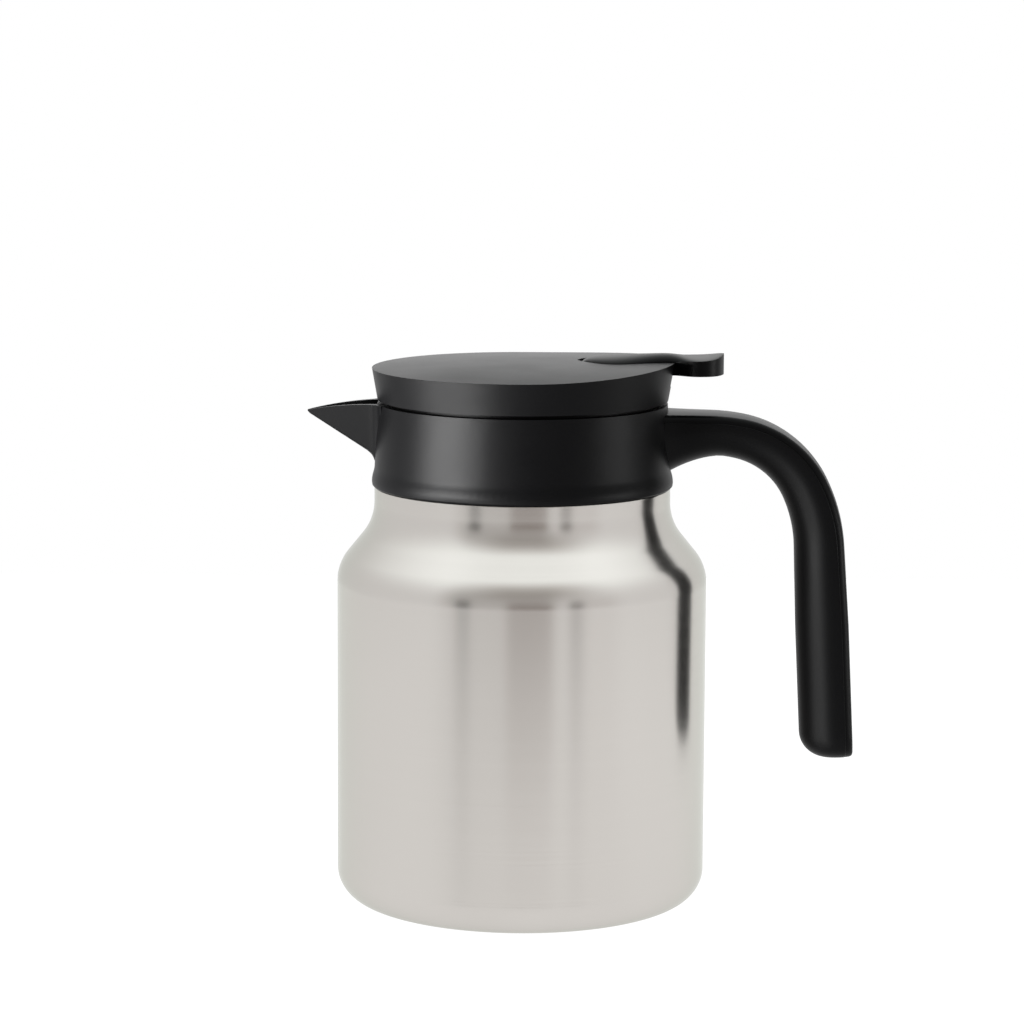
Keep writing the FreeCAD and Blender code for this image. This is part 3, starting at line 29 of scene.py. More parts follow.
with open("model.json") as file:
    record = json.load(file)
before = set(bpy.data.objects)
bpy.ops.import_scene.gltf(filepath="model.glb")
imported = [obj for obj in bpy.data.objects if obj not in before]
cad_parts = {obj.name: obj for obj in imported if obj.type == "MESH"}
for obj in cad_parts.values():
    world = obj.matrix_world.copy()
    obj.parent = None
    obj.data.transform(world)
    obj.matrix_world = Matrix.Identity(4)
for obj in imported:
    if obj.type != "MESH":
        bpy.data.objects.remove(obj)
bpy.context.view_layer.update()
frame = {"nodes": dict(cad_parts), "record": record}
nodes = frame["nodes"]
scene = bpy.context.scene
mm = 0.001
print("frame loaded,", len(nodes), "nodes")


# Finishes, read in object space so that each pattern keeps its real scale.

def newMaterial(name, colour, roughness, metallic=0.0):
    material = bpy.data.materials.new(name)
    material.use_nodes = True
    shader = material.node_tree.nodes["Principled BSDF"]
    shader.inputs["Base Color"].default_value = (*colour, 1)
    shader.inputs["Roughness"].default_value = roughness
    shader.inputs["Metallic"].default_value = metallic
    return material, material.node_tree, shader


def addNode(tree, kind, inputs=None, **settings):
    node = tree.nodes.new(kind)
    for name, value in settings.items():
        setattr(node, name, value)
    for name, value in (inputs or {}).items():
        node.inputs[name].default_value = value
    return node


def objectCoords(tree, scale=(1, 1, 1)):
    coords = addNode(tree, "ShaderNodeTexCoord")
    mapping = addNode(tree, "ShaderNodeMapping", {"Scale": scale})
    tree.links.new(coords.outputs["Object"], mapping.inputs["Vector"])
    return mapping.outputs["Vector"]


def noiseOn(tree, vector, scale, detail=2.0):
    noise = addNode(tree, "ShaderNodeTexNoise",
                    {"Scale": scale, "Detail": detail, "Roughness": 0.5})
    tree.links.new(vector, noise.inputs["Vector"])
    return noise.outputs["Fac"]


def spread(tree, noise, low, high):
    ranged = addNode(tree, "ShaderNodeMapRange", {
        "From Min": 0.3, "From Max": 0.7, "To Min": low, "To Max": high})
    tree.links.new(noise, ranged.inputs["Value"])
    return ranged.outputs["Result"]


def colourMix(tree, value, first, second):
    mix = addNode(tree, "ShaderNodeMix", data_type="RGBA")
    mix.inputs[6].default_value = (*first, 1)
    mix.inputs[7].default_value = (*second, 1)
    tree.links.new(value, mix.inputs[0])
    return mix.outputs[2]


def bumpFrom(tree, shader, height, strength, distance):
    bump = addNode(tree, "ShaderNodeBump", {"Strength": strength, "Distance": distance})
    tree.links.new(height, bump.inputs["Height"])
    tree.links.new(bump.outputs["Normal"], shader.inputs["Normal"])


def mottled(tree, shader, noise, look):
    tone = colourMix(tree, spread(tree, noise, 0.0, 1.0), look["darkTone"], look["lightTone"])
    tree.links.new(tone, shader.inputs["Base Color"])


def roughened(tree, shader, noise, look):
    tree.links.new(spread(tree, noise, *look["roughness"]), shader.inputs["Roughness"])


steelLook = {
    "darkTone": (0.545, 0.520, 0.492),
    "lightTone": (0.585, 0.558, 0.530),
    "edgeTone": (0.80, 0.82, 0.79),
    "roughness": (0.215, 0.25),
    "anisotropy": 0.80,
    "brushing": (6, 6, 3400),
    "clouds": 14.0,
    "grooves": (0.03, 0.000006),  # strength, depth in metres
}


def brushedSteel():
    material, tree, shader = newMaterial("brushedSteel", steelLook["lightTone"], 0.3, 1.0)
    shader.inputs["Anisotropic"].default_value = steelLook["anisotropy"]
    shader.inputs["Specular Tint"].default_value = (*steelLook["edgeTone"], 1)
    shader.inputs["Anisotropic Rotation"].default_value = 0.25
    tangent = addNode(tree, "ShaderNodeTangent", direction_type="RADIAL", axis="Z")
    tree.links.new(tangent.outputs["Tangent"], shader.inputs["Tangent"])
    lines = noiseOn(tree, objectCoords(tree, steelLook["brushing"]), 1.0)
    clouds = noiseOn(tree, objectCoords(tree, (1, 1, 0.3)), steelLook["clouds"])
    roughened(tree, shader, lines, steelLook)
    mottled(tree, shader, clouds, steelLook)
    bumpFrom(tree, shader, lines, *steelLook["grooves"])
    return material


plasticLook = {
    "darkTone": (0.0004, 0.0004, 0.0005),
    "lightTone": (0.0009, 0.0009, 0.0010),
    "specular": 0.055,
    "roughness": (0.375, 0.40),
    "grain": 2600.0,
    "clouds": 60.0,
    "pits": (0.25, 0.00004),  # strength, depth in metres
}


def blackPlastic():
    material, tree, shader = newMaterial("blackPlastic", plasticLook["lightTone"], 0.42)
    shader.inputs["Specular IOR Level"].default_value = plasticLook["specular"]
    grain = noiseOn(tree, objectCoords(tree), plasticLook["grain"])
    clouds = noiseOn(tree, objectCoords(tree), plasticLook["clouds"], 3.0)
    roughened(tree, shader, clouds, plasticLook)
    mottled(tree, shader, grain, plasticLook)
    bumpFrom(tree, shader, grain, *plasticLook["pits"])
    return material


rubberLook = {
    "darkTone": (0.42, 0.42, 0.40),
    "lightTone": (0.52, 0.52, 0.50),
    "clouds": 90.0,
}


def siliconeRubber():
    material, tree, shader = newMaterial("siliconeRubber", rubberLook["lightTone"], 0.55)
    mottled(tree, shader, noiseOn(tree, objectCoords(tree), rubberLook["clouds"], 3.0), rubberLook)
    return material


wireLook = {
    "tone": (0.62, 0.62, 0.61),
    "roughness": (0.18, 0.34),
    "drawing": 900.0,
}


def brightWire():
    material, tree, shader = newMaterial("brightWire", wireLook["tone"], 0.25, 1.0)
    roughened(tree, shader, noiseOn(tree, objectCoords(tree, (1, 1, 4)), wireLook["drawing"]),
              wireLook)
    return material


steel = brushedSteel()
plastic = blackPlastic()
finishes = {"steel": steel, "black_plastic": plastic, "seal_rubber": siliconeRubber(),
            "screw_steel": brightWire()}
for part in frame["record"]["subparts"]:
    for slot in nodes[part["node"]].material_slots:
        slot.material = finishes[part["material_slot"]]
print("finishes on the packed solids")


# Small helpers for working by operators: only what is meant is selected.

def selectNothing():
    for thing in list(bpy.context.selected_objects):
        thing.select_set(False)


def selectOnly(piece):
    selectNothing()
    piece.select_set(True)
    bpy.context.view_layer.objects.active = piece


def editAll(piece):
    selectOnly(piece)
    bpy.ops.object.mode_set(mode="EDIT")
    bpy.ops.mesh.select_all(action="SELECT")


def objectMode():
    bpy.ops.object.mode_set(mode="OBJECT")


def arcLine(centre, radius, start, end, steps):
    angles = [math.radians(start + (end - start) * step / steps) for step in range(steps + 1)]
    return [(centre[0] + radius * math.cos(angle), centre[1] + radius * math.sin(angle))
            for angle in angles]


def spunPiece(name, line, steps):
    piece = startPoint(name, (line[0][0], 0, line[0][1]))
    for first, second in zip(line, line[1:]):
        move = ((second[0] - first[0]) * mm, 0, (second[1] - first[1]) * mm)
        bpy.ops.mesh.extrude_region_move(TRANSFORM_OT_translate={"value": move})
    bpy.ops.mesh.select_all(action="SELECT")
    bpy.ops.mesh.spin(steps=steps, angle=2 * math.pi, center=(0, 0, 0), axis=(0, 0, 1))
    bpy.ops.mesh.select_all(action="SELECT")
    bpy.ops.mesh.remove_doubles(threshold=0.002 * mm)
    bpy.ops.mesh.normals_make_consistent(inside=False)
    objectMode()
    return piece


def startPoint(name, spot):
    selectNothing()
    bpy.ops.mesh.primitive_plane_add(size=mm, location=(0, 0, 0))
    piece = bpy.context.object
    piece.name = name
    editAll(piece)
    bpy.ops.mesh.merge(type="CENTER")
    bpy.ops.transform.translate(value=[place * mm for place in spot])
    return piece


def selectWhere(piece, test):
    bpy.ops.mesh.select_all(action="DESELECT")
    bpy.ops.mesh.select_mode(type="VERT")
    objectMode()
    for vertex in piece.data.vertices:
        vertex.select = test(vertex.co)
    bpy.ops.object.mode_set(mode="EDIT")


def applied(piece, kind, **settings):
    selectOnly(piece)
    modifier = piece.modifiers.new(kind.lower(), kind)
    for key, value in settings.items():
        setattr(modifier, key, value)
    bpy.ops.object.modifier_apply(modifier=modifier.name)


def rounded(piece, edge, corner):
    applied(piece, "BEVEL", width=edge * mm, segments=3, limit_method="ANGLE",
            angle_limit=math.radians(corner))


def softCopy(node, name, edge, foot=None):
    piece = bpy.data.objects.new(name, nodes[node].data.copy())
    scene.collection.objects.link(piece)
    editAll(piece)
    bpy.ops.mesh.remove_doubles(threshold=0.005 * mm)
    bpy.ops.mesh.dissolve_limited(angle_limit=math.radians(0.02))
    if foot:
        selectWhere(piece, lambda spot: spot.z < foot["below"] * mm
                    and math.hypot(spot.x, spot.y) > foot["outside"] * mm)
        bpy.ops.transform.resize(value=(foot["grow"], foot["grow"], 1), center_override=(0, 0, 0))
        selectWhere(piece, lambda spot: spot.z < foot["below"] * mm)
        bpy.ops.transform.translate(value=(0, 0, foot["lift"] * mm))
    objectMode()
    rounded(piece, edge, 28)
    return piece


def dressed(piece, body, slotName, material, *replaced, smooth=30.0):
    selectOnly(piece)
    bpy.ops.object.shade_smooth_by_angle(angle=math.radians(smooth))
    applied(piece, "WEIGHTED_NORMAL", keep_sharp=True)
    piece.data.materials.clear()
    piece.data.materials.append(material)
    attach(piece, body)
    if replaced:
        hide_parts(*replaced)
    print("piece", piece.name, len(piece.data.polygons), "faces")


# The steel body: foot fold, wall, sloped shoulder, neck and the beaded mouth tube
# under the collar. Millimetres and degrees, here and in the pieces that follow.
steelBody = {
    "radius": 60.0,
    "foot": 10.2,
    "foldIn": 3.6,
    "foldTop": 2.2,
    "foldEdge": 0.35,
    "wallRings": (30.0, 55.0, 80.0),
    "shoulderStart": 104.69,
    "shoulderRadius": 15.0,
    "lean": 39.0,
    "blendRadius": 17.6,
    "neckRadius": 47.95,
    "neckStart": 131.117,
    "neckTop": 136.0,
    "mouthRadius": 44.6,
    "mouthTop": 148.4,
    "ledgeEdges": (0.6, 0.5),
    "beadHeight": 142.4,
    "beadDepth": 0.6,
    "wall": 0.6,
    "spinSteps": 192,
}


def buildBody():
    s = steelBody
    radius, foot, neck, fold = s["radius"], s["foot"], s["neckRadius"], s["foldEdge"]
    inner = radius - foot - s["foldIn"]
    line = [(inner, s["foldTop"]), (inner, fold)]
    line += arcLine((inner + fold, fold), fold, 180, 270, 4)[1:]
    line += arcLine((radius - foot, foot), foot, 270, 360, 16)
    line += [(radius, z) for z in s["wallRings"]]
    line += arcLine((radius - s["shoulderRadius"], s["shoulderStart"]), s["shoulderRadius"],
                    0, s["lean"], 14)
    line += arcLine((neck + s["blendRadius"], s["neckStart"]), s["blendRadius"],
                    180 + s["lean"], 180, 16)
    outside, inside = s["ledgeEdges"]
    line += arcLine((neck - outside, s["neckTop"] - outside), outside, 0, 90, 4)
    mouth, bead, depth = s["mouthRadius"], s["beadHeight"], s["beadDepth"]
    line += arcLine((mouth + inside, s["neckTop"] + inside), inside, 270, 180, 3)
    line += [(mouth, bead - 2), (mouth - depth, bead - 1), (mouth - depth, bead + 1),
             (mouth, bead + 2), (mouth, s["mouthTop"])]
    piece = spunPiece("steelBody", line, s["spinSteps"])
    applied(piece, "SOLIDIFY", thickness=s["wall"] * mm, offset=-1.0, use_even_offset=True)
    dressed(piece, "jug_body", "steel", steel, "outer_shell", smooth=38.0)


buildBody()


# Collar and lid keep their construction shape with rounded edges;
# the collar's foot is a little fuller and higher.
moulded = {
    "collarEdge": 0.7,
    "collarFoot": {"below": 136.0, "outside": 47.2, "grow": 1.013, "lift": 0.85},
    "lidEdge": 0.8,
}

dressed(softCopy("spout_collar", "collar", moulded["collarEdge"], moulded["collarFoot"]),
        "jug_body", "black_plastic", plastic, "spout_collar")
dressed(softCopy("lid_shell", "lidCap", moulded["lidEdge"]),
        "lid", "black_plastic", plastic, "lid_shell")


# The hook handle: a round-bellied grip under an outer strip, drawn along runs and bends.
hookHandle = {
    "start": (45.0, 154.55),
    "pitch": 2.7,
    "bends": ((9.2, 60.0, 4), (52.7, 30.7, 20), (22.5, 49.4, 9)),  # angle, radius, steps
    "arm": (15.9, 9),  # length, steps
    "leg": (61.4, 12),
    "outer": (6.4, 8.6),  # over the middle line, at the root and grown
    "inner": (6.95, 8.7),  # under it
    "grownAt": 99.4,
    "halfWidth": 11.0,
    "rootHalfWidth": 13.4,
    "rootDrop": 8.55,
    "rootRun": 22.0,
    "rootEase": (1.9, 2.2),  # how fast the drop and the width fade
    "endInner": 8.6,
    "endPlan": 7.6,
    "endOuter": 1.6,
    "endSteps": 12,
    "strip": 2.75,
    "stripSunk": 0.1,
    "stripInset": 0.4,
    "stripCorner": 2.4,
    "stripCrown": 0.5,
    "sideShare": 0.19,
    "seamEdge": 0.35,
}


def roundedOff(radius, distance):
    left = max(0.0, radius - distance)
    return radius - math.sqrt(max(0.0, radius * radius - left * left))


def handleStations():
    s = hookHandle
    x, z = s["start"]
    turn, run = math.radians(s["pitch"]), 0.0
    spots = [(x, z, turn, run)]

    def goOn(length, steps, angle):
        nonlocal x, z, turn, run
        for step in range(steps):
            turn += angle / steps / 2
            x += math.cos(turn) * length / steps
            z -= math.sin(turn) * length / steps
            turn += angle / steps / 2
            run += length / steps
            spots.append((x, z, turn, run))

    goOn(*s["arm"], 0.0)
    for angle, radius, steps in s["bends"]:
        goOn(radius * math.radians(angle), steps, math.radians(angle))
    goOn(*s["leg"], 0.0)
    for step in range(s["endSteps"]):
        before, after = (math.sin(math.radians(90 / s["endSteps"] * k)) for k in (step, step + 1))
        goOn(s["endInner"] * (after - before), 1, 0.0)
    stations = []
    dropEase, widthEase = s["rootEase"]
    for x, z, turn, run in spots:
        grown = min(1.0, run / s["grownAt"])
        left = spots[-1][3] - run
        outer = s["outer"][0] + (s["outer"][1] - s["outer"][0]) * grown
        inner = s["inner"][0] + (s["inner"][1] - s["inner"][0]) * grown
        inner += s["rootDrop"] * max(0.0, 1 - run / s["rootRun"]) ** dropEase
        width = s["halfWidth"] + (s["rootHalfWidth"] - s["halfWidth"]) * max(
            0.0, 1 - run / s["arm"][0]) ** widthEase
        outer -= roundedOff(s["endOuter"], left)
        inner -= roundedOff(s["endInner"], left)
        width -= roundedOff(s["endPlan"], left)
        stations.append((x, z, turn, outer, inner, width))
    return stations


def sweptPiece(name, section, places):
    x, z, turn, width, height = places[0]
    piece = startPoint(name, (x, section[0][0] * width, z + section[0][1] * height))
    for before, after in zip(section, section[1:]):
        move = (0, (after[0] - before[0]) * width * mm, (after[1] - before[1]) * height * mm)
        bpy.ops.mesh.extrude_region_move(TRANSFORM_OT_translate={"value": move})
    bpy.ops.mesh.select_all(action="SELECT")
    bpy.ops.mesh.edge_face_add()
    centre = (x * mm, 0, z * mm)
    bpy.ops.transform.rotate(value=-turn, orient_axis="Y", center_override=centre)
    for before, after in zip(places, places[1:]):
        move = ((after[0] - before[0]) * mm, 0, (after[1] - before[1]) * mm)
        bpy.ops.mesh.extrude_region_move(TRANSFORM_OT_translate={"value": move})
        centre = (after[0] * mm, 0, after[1] * mm)
        grow = (1, after[3] / before[3], after[4] / before[4])
        bpy.ops.transform.rotate(value=before[2], orient_axis="Y", center_override=centre)
        bpy.ops.transform.resize(value=grow, center_override=centre)
        bpy.ops.transform.rotate(value=-after[2], orient_axis="Y", center_override=centre)
    bpy.ops.mesh.select_all(action="SELECT")
    bpy.ops.mesh.normals_make_consistent(inside=False)
    objectMode()
    return piece


def buildHandle():
    s = hookHandle
    stations = handleStations()
    side = s["sideShare"]
    section = [(1.0, 0.0), (1.0, -side / 2), (1.0, -side)]
    section += [(math.cos(math.radians(a)), -side - (1 - side) * math.sin(math.radians(a)))
                for a in range(6, 90, 6)]
    section += [(0.0, -1.0)] + [(-u, v) for u, v in reversed(section)]
    places = []
    for x, z, turn, outer, inner, width in stations:
        top = outer - s["strip"]
        places.append((x + top * math.sin(turn), z + top * math.cos(turn), turn, width,
                       top + inner))
    grip = sweptPiece("grip", section, places)
    rounded(grip, s["seamEdge"], 50)
    dressed(grip, "jug_body", "black_plastic", plastic, "handle_grip")
    corner, crown = s["stripCorner"], s["stripCrown"]
    flat = s["halfWidth"] - s["stripInset"] - corner
    section = [(1.0, -s["strip"] - s["stripSunk"])]
    section += [((flat + corner * math.cos(math.radians(a))) / (flat + corner),
                 -crown - corner * (1 - math.sin(math.radians(a)))) for a in range(0, 91, 15)]
    section += [(flat * share / (flat + corner), -crown * share * share)
                for share in (0.66, 0.33, 0.0)]
    section += [(-u, v) for u, v in reversed(section[:-1])]
    places = [(x + outer * math.sin(turn), z + outer * math.cos(turn), turn,
               width - s["stripInset"], 1.0) for x, z, turn, outer, _, width in stations]
    strip = sweptPiece("gripStrip", section, places)
    dressed(strip, "jug_body", "black_plastic", plastic, "handle_cover", smooth=35.0)


buildHandle()


# The lever: a leaf, a waist over the rim and a thumb tab, its edges rolled down into the lid.
thumbLever = {
    "slices": (  # along X, half its width, height of the middle, height of the rolled edge
        (18.1, 0.9, 176.15, 176.05), (18.9, 2.3, 176.25, 176.05), (19.5, 3.0, 177.05, 176.70),
        (21.0, 5.2, 177.65, 176.70), (22.4, 7.9, 178.00, 176.80), (25.0, 10.4, 178.30, 176.75),
        (28.8, 12.1, 178.55, 176.75), (33.0, 11.2, 178.75, 176.80), (38.0, 8.8, 179.00, 176.90),
        (42.5, 7.1, 179.20, 177.05), (46.2, 6.5, 179.33, 177.15), (49.3, 6.9, 179.05, 177.20),
        (51.6, 8.9, 178.60, 177.45), (54.0, 10.9, 178.25, 177.75), (57.2, 11.3, 178.10, 177.75),
        (60.3, 10.5, 178.35, 178.00), (62.6, 8.4, 178.80, 178.40), (64.0, 5.2, 179.20, 178.85),
        (64.75, 1.8, 179.36, 179.05),
    ),
    # across a slice: share of its half width, share of the fall to its edge
    "across": ((0.0, 0.0), (0.30, 0.04), (0.58, 0.18), (0.80, 0.42), (0.94, 0.74), (1.0, 1.0)),
    "wall": 1.5,
    "leafBase": 175.7,
    "tabBase": 172.8,
    "tabFrom": 42.0,
    "pivot": (38.0, 172.4),
    "hub": (2.7, 13.4),  # radius, length
    "hubEdge": 0.4,
    "cheeks": {"from": 20.2, "to": 37.0, "low": 171.7, "high": 174.1, "at": 4.2, "wide": 1.4},
    "cheekEdge": 0.3,
}


def readied(piece, edge):
    selectOnly(piece)
    bpy.ops.object.transform_apply(location=True, rotation=True, scale=True)
    rounded(piece, edge, 40)
    return piece


def buildLever():
    s = thumbLever
    first = s["slices"][0]
    half = [(share, -fall) for share, fall in s["across"]]
    row = [(-share, fall) for share, fall in reversed(half[1:])] + half
    width, drop = first[1], first[2] - first[3]
    piece = startPoint("lever", (first[0], row[0][0] * width, first[2] + row[0][1] * drop))
    for before, after in zip(row, row[1:]):
        move = (0, (after[0] - before[0]) * width * mm, (after[1] - before[1]) * drop * mm)
        bpy.ops.mesh.extrude_region_move(TRANSFORM_OT_translate={"value": move})
    bpy.ops.mesh.select_all(action="SELECT")
    for before, after in zip(s["slices"], s["slices"][1:]):
        move = ((after[0] - before[0]) * mm, 0, (after[2] - before[2]) * mm)
        bpy.ops.mesh.extrude_region_move(TRANSFORM_OT_translate={"value": move})
        grow = (1, after[1] / before[1], (after[2] - after[3]) / (before[2] - before[3]))
        bpy.ops.transform.resize(value=grow, center_override=(after[0] * mm, 0, after[2] * mm))
    objectMode()
    applied(piece, "SUBSURF", levels=2)
    editAll(piece)
    bpy.ops.mesh.normals_make_consistent(inside=False)
    bpy.ops.mesh.select_non_manifold(extend=False, use_wire=False, use_multi_face=False,
                                     use_non_contiguous=False, use_verts=False)
    bpy.ops.mesh.extrude_region_move(TRANSFORM_OT_translate={"value": (0, 0, -1.2 * mm)})
    bpy.ops.transform.resize(value=(1, 1, 0), center_override=(0, 0, s["leafBase"] * mm))
    selectWhere(piece, lambda spot: spot.x > s["tabFrom"] * mm
                and abs(spot.z - s["leafBase"] * mm) < 0.01 * mm)
    bpy.ops.mesh.extrude_region_move(
        TRANSFORM_OT_translate={"value": (0, 0, (s["tabBase"] - s["leafBase"]) * mm)})
    objectMode()
    applied(piece, "SOLIDIFY", thickness=s["wall"] * mm, offset=-1.0)
    parts = [piece]
    radius, length = s["hub"]
    selectNothing()
    bpy.ops.mesh.primitive_cylinder_add(
        vertices=40, radius=radius * mm, depth=length * mm,
        location=(s["pivot"][0] * mm, 0, s["pivot"][1] * mm), rotation=(math.pi / 2, 0, 0))
    parts.append(readied(bpy.context.object, s["hubEdge"]))
    c = s["cheeks"]
    for side in (1, -1):
        selectNothing()
        bpy.ops.mesh.primitive_cube_add(
            size=mm, scale=(c["to"] - c["from"], c["wide"], c["high"] - c["low"]),
            location=((c["to"] + c["from"]) / 2 * mm, side * c["at"] * mm,
                      (c["high"] + c["low"]) / 2 * mm))
        parts.append(readied(bpy.context.object, s["cheekEdge"]))
    selectNothing()
    for part in parts:
        part.select_set(True)
    bpy.context.view_layer.objects.active = piece
    bpy.ops.object.join()
    dressed(piece, "lever", "black_plastic", plastic, "thumb_lever", smooth=50.0)


buildLever()


# The camera stands where the photographer's did: place in metres, turns in radians.
view = {
    "place": (-0.0001, -1.220, 0.3072),
    "down": 0.1465,
    "aside": -0.00264,
    "roll": 0.0054,
    "focalPixels": 3797.0,
    "picturePixels": 1024.0,
    "sensor": 36.0,
    "clip": (0.05, 50.0),
}


def addCamera():
    down, aside, roll = view["down"], view["aside"], view["roll"]
    forward = Vector((math.sin(aside) * math.cos(down), math.cos(aside) * math.cos(down),
                      -math.sin(down)))
    right = forward.cross(Vector((0, 0, 1))).normalized()
    above = right.cross(forward)
    across = math.cos(roll) * right + math.sin(roll) * above
    upward = -math.sin(roll) * right + math.cos(roll) * above
    bpy.ops.object.camera_add(location=view["place"])
    camera = bpy.context.object
    camera.name = "camera"
    turn = Matrix((across, upward, -forward)).transposed()
    camera.rotation_euler = turn.to_euler()
    camera.data.sensor_width = view["sensor"]
    camera.data.lens = view["focalPixels"] / view["picturePixels"] * view["sensor"]
    camera.data.clip_start, camera.data.clip_end = view["clip"]
    scene.camera = camera


addCamera()
scene.view_settings.view_transform = "Standard"


# A white set: the floor and the backdrop glow, and cards round the camera shape what the
# steel mirrors. Cards are in degrees: aside from the front, above the horizon, and how
# softly they end at the sides, below and above.
studio = {
    "floorSize": 1.28,
    "floorTone": (0.10, 0.10, 0.10),
    "floorGlow": 1.0,
    "wallGlow": (0.98, 0.98, 0.98),
    "roofGlow": (1.56, 1.62, 1.62),
    "roofFrom": 12.0,
    "roofTo": 62.0,
    "cards": (
        {"aside": (-41.0, -32.0), "height": (-9.8, 11.0), "soft": (2.5, 1.0, 7.0),
         "tone": (0.06, 0.06, 0.055)},
        {"aside": (-9.0, 19.0), "height": (-9.8, 6.0), "soft": (3.0, 1.0, 11.0),
         "tone": (0.205, 0.125, 0.095)},
        {"aside": (29.5, 38.0), "height": (-9.8, 10.0), "soft": (3.0, 1.0, 6.0),
         "tone": (0.18, 0.165, 0.155)},
        {"aside": (-34.0, 46.0), "height": (21.0, 54.0), "soft": (28.0, 12.0, 12.0),
         "tone": (0.46, 0.43, 0.41)},
        {"aside": (-50.0, 22.0), "height": (-14.0, 38.0), "soft": (9.0, 3.0, 18.0),
         "tone": (0.70, 0.69, 0.68)},
        {"aside": (30.0, 60.0), "height": (-14.0, 14.0), "soft": (8.0, 3.0, 10.0),
         "tone": (0.82, 0.80, 0.79)},
    ),
}

# The lamps light the black pieces alone, or only those named. The key lamp on the left
# draws the long highlight; the flare lamp evens the collar's foot.
lampsAim = 0.15
lamps = (
    {"name": "keyLamp", "aside": -57.0, "height": -12.0, "away": 0.80, "wide": 0.62, "tall": 0.44,
     "watts": 39.0, "only": ()},
    {"name": "bounceLamp", "aside": -58.0, "height": -34.0, "away": 0.80, "wide": 0.30,
     "tall": 0.50, "watts": 42.0, "only": ("lidCap", "lever")},
    {"name": "lowLamp", "aside": -50.0, "height": -36.0, "away": 0.80, "wide": 0.34,
     "tall": 0.50, "watts": 18.0, "only": ("collar", "grip", "gripStrip")},
    {"name": "flareLamp", "aside": -57.0, "height": 9.0, "away": 0.80, "wide": 0.50, "tall": 0.28,
     "watts": 17.0, "only": ("collar",)},
    {"name": "sideLamp", "aside": 76.0, "height": -14.0, "away": 0.80, "wide": 0.40, "tall": 0.50,
     "watts": 5.0, "only": ()},
    {"name": "backLamp", "aside": 184.0, "height": 14.0, "away": 1.5, "wide": 1.8, "tall": 0.5,
     "watts": 2.8, "only": ()},
)


def addFloor():
    selectNothing()
    bpy.ops.mesh.primitive_plane_add(size=studio["floorSize"])
    floor = bpy.context.object
    floor.name = "floor"
    material, tree, shader = newMaterial("paleFloor", studio["floorTone"], 0.95)
    shader.inputs["Specular IOR Level"].default_value = 0.0
    shader.inputs["Emission Color"].default_value = (1, 1, 1, 1)
    shader.inputs["Emission Strength"].default_value = studio["floorGlow"]
    floor.data.materials.append(material)


def combined(tree, operation, first, second=0.0):
    node = addNode(tree, "ShaderNodeMath", operation=operation)
    for place, value in enumerate((first, second)):
        if isinstance(value, (int, float)):
            node.inputs[place].default_value = value
        else:
            tree.links.new(value, node.inputs[place])
    return node.outputs[0]


def stepOn(tree, value, low, high, fromZero=True):
    ranged = addNode(tree, "ShaderNodeMapRange", {
        "From Min": low, "From Max": high, "To Min": 0.0 if fromZero else 1.0,
        "To Max": 1.0 if fromZero else 0.0}, interpolation_type="SMOOTHSTEP")
    tree.links.new(value, ranged.inputs["Value"])
    return ranged.outputs["Result"]


def bandOn(tree, value, ends, lowSoft, highSoft):
    low, high = ends
    return combined(tree, "MULTIPLY", stepOn(tree, value, low - lowSoft, low + lowSoft),
                    stepOn(tree, value, high - highSoft, high + highSoft, fromZero=False))


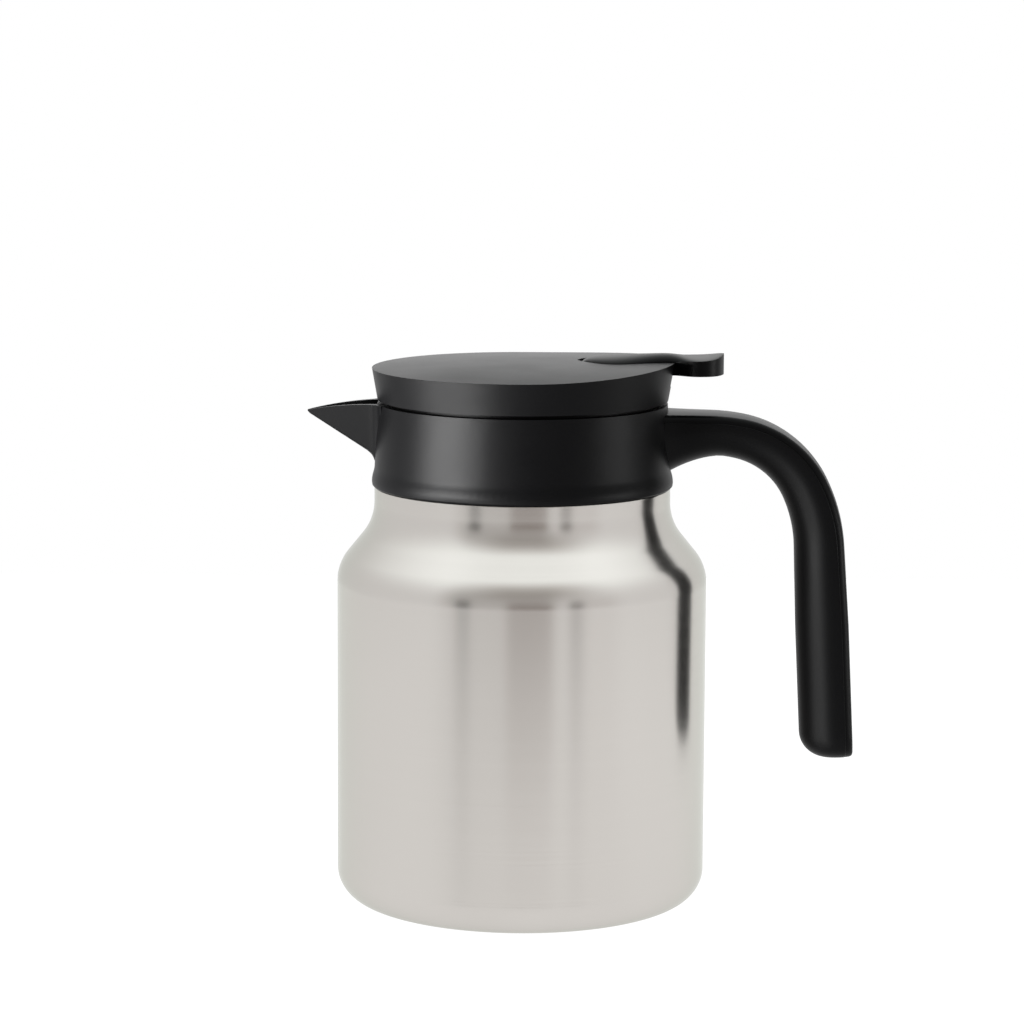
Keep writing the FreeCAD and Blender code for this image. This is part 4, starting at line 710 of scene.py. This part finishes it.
def addBackdrop():
    world = bpy.data.worlds.new("studio")
    scene.world = world
    world.use_nodes = True
    tree = world.node_tree
    background = tree.nodes["Background"]
    towards = addNode(tree, "ShaderNodeTexCoord")
    parts = addNode(tree, "ShaderNodeSeparateXYZ")
    tree.links.new(towards.outputs["Generated"], parts.inputs["Vector"])
    height = combined(tree, "DEGREES", combined(tree, "ARCSINE", parts.outputs["Z"]))
    aside = combined(tree, "DEGREES", combined(
        tree, "ARCTAN2", parts.outputs["X"], combined(tree, "MULTIPLY", parts.outputs["Y"], -1.0)))
    glow = colourMix(tree, stepOn(tree, height, studio["roofFrom"], studio["roofTo"]),
                     studio["wallGlow"], studio["roofGlow"])
    for card in studio["cards"]:
        beside, below, above = card["soft"]
        mask = combined(tree, "MULTIPLY", bandOn(tree, aside, card["aside"], beside, beside),
                        bandOn(tree, height, card["height"], below, above))
        shade = colourMix(tree, mask, (1, 1, 1), card["tone"])
        product = addNode(tree, "ShaderNodeMix", data_type="RGBA", blend_type="MULTIPLY")
        product.inputs[0].default_value = 1.0
        tree.links.new(glow, product.inputs[6])
        tree.links.new(shade, product.inputs[7])
        glow = product.outputs[2]
    rays = addNode(tree, "ShaderNodeLightPath")
    seen = addNode(tree, "ShaderNodeMix", data_type="RGBA")
    seen.inputs[7].default_value = (1, 1, 1, 1)
    tree.links.new(rays.outputs["Is Camera Ray"], seen.inputs[0])
    tree.links.new(glow, seen.inputs[6])
    tree.links.new(seen.outputs[2], background.inputs["Color"])
    background.inputs["Strength"].default_value = 1.0


def addLamps():
    blockers = bpy.data.collections.new("blockers")
    pieces = [piece for piece in scene.objects if piece.type == "MESH" and piece.name != "floor"]
    for piece in pieces:
        blockers.objects.link(piece)
    for lamp in lamps:
        turn, rise = math.radians(lamp["aside"]), math.radians(lamp["height"])
        away = Vector((math.sin(turn) * math.cos(rise), -math.cos(turn) * math.cos(rise),
                       math.sin(rise)))
        bpy.ops.object.light_add(type="AREA",
                                 location=away * lamp["away"] + Vector((0, 0, lampsAim)))
        light = bpy.context.object
        light.name = lamp["name"]
        light.rotation_euler = away.to_track_quat("Z", "Y").to_euler()
        light.data.shape = "RECTANGLE"
        light.data.size = lamp["wide"]
        light.data.size_y = lamp["tall"]
        light.data.energy = lamp["watts"]
        light.visible_camera = False
        lit = bpy.data.collections.new(lamp["name"] + "Lit")
        for piece in pieces:
            if plastic.name in piece.data.materials and (
                    not lamp["only"] or piece.name in lamp["only"]):
                lit.objects.link(piece)
        light.light_linking.receiver_collection = lit
        light.light_linking.blocker_collection = blockers


addFloor()
addBackdrop()
addLamps()
print("camera, floor and light in place")
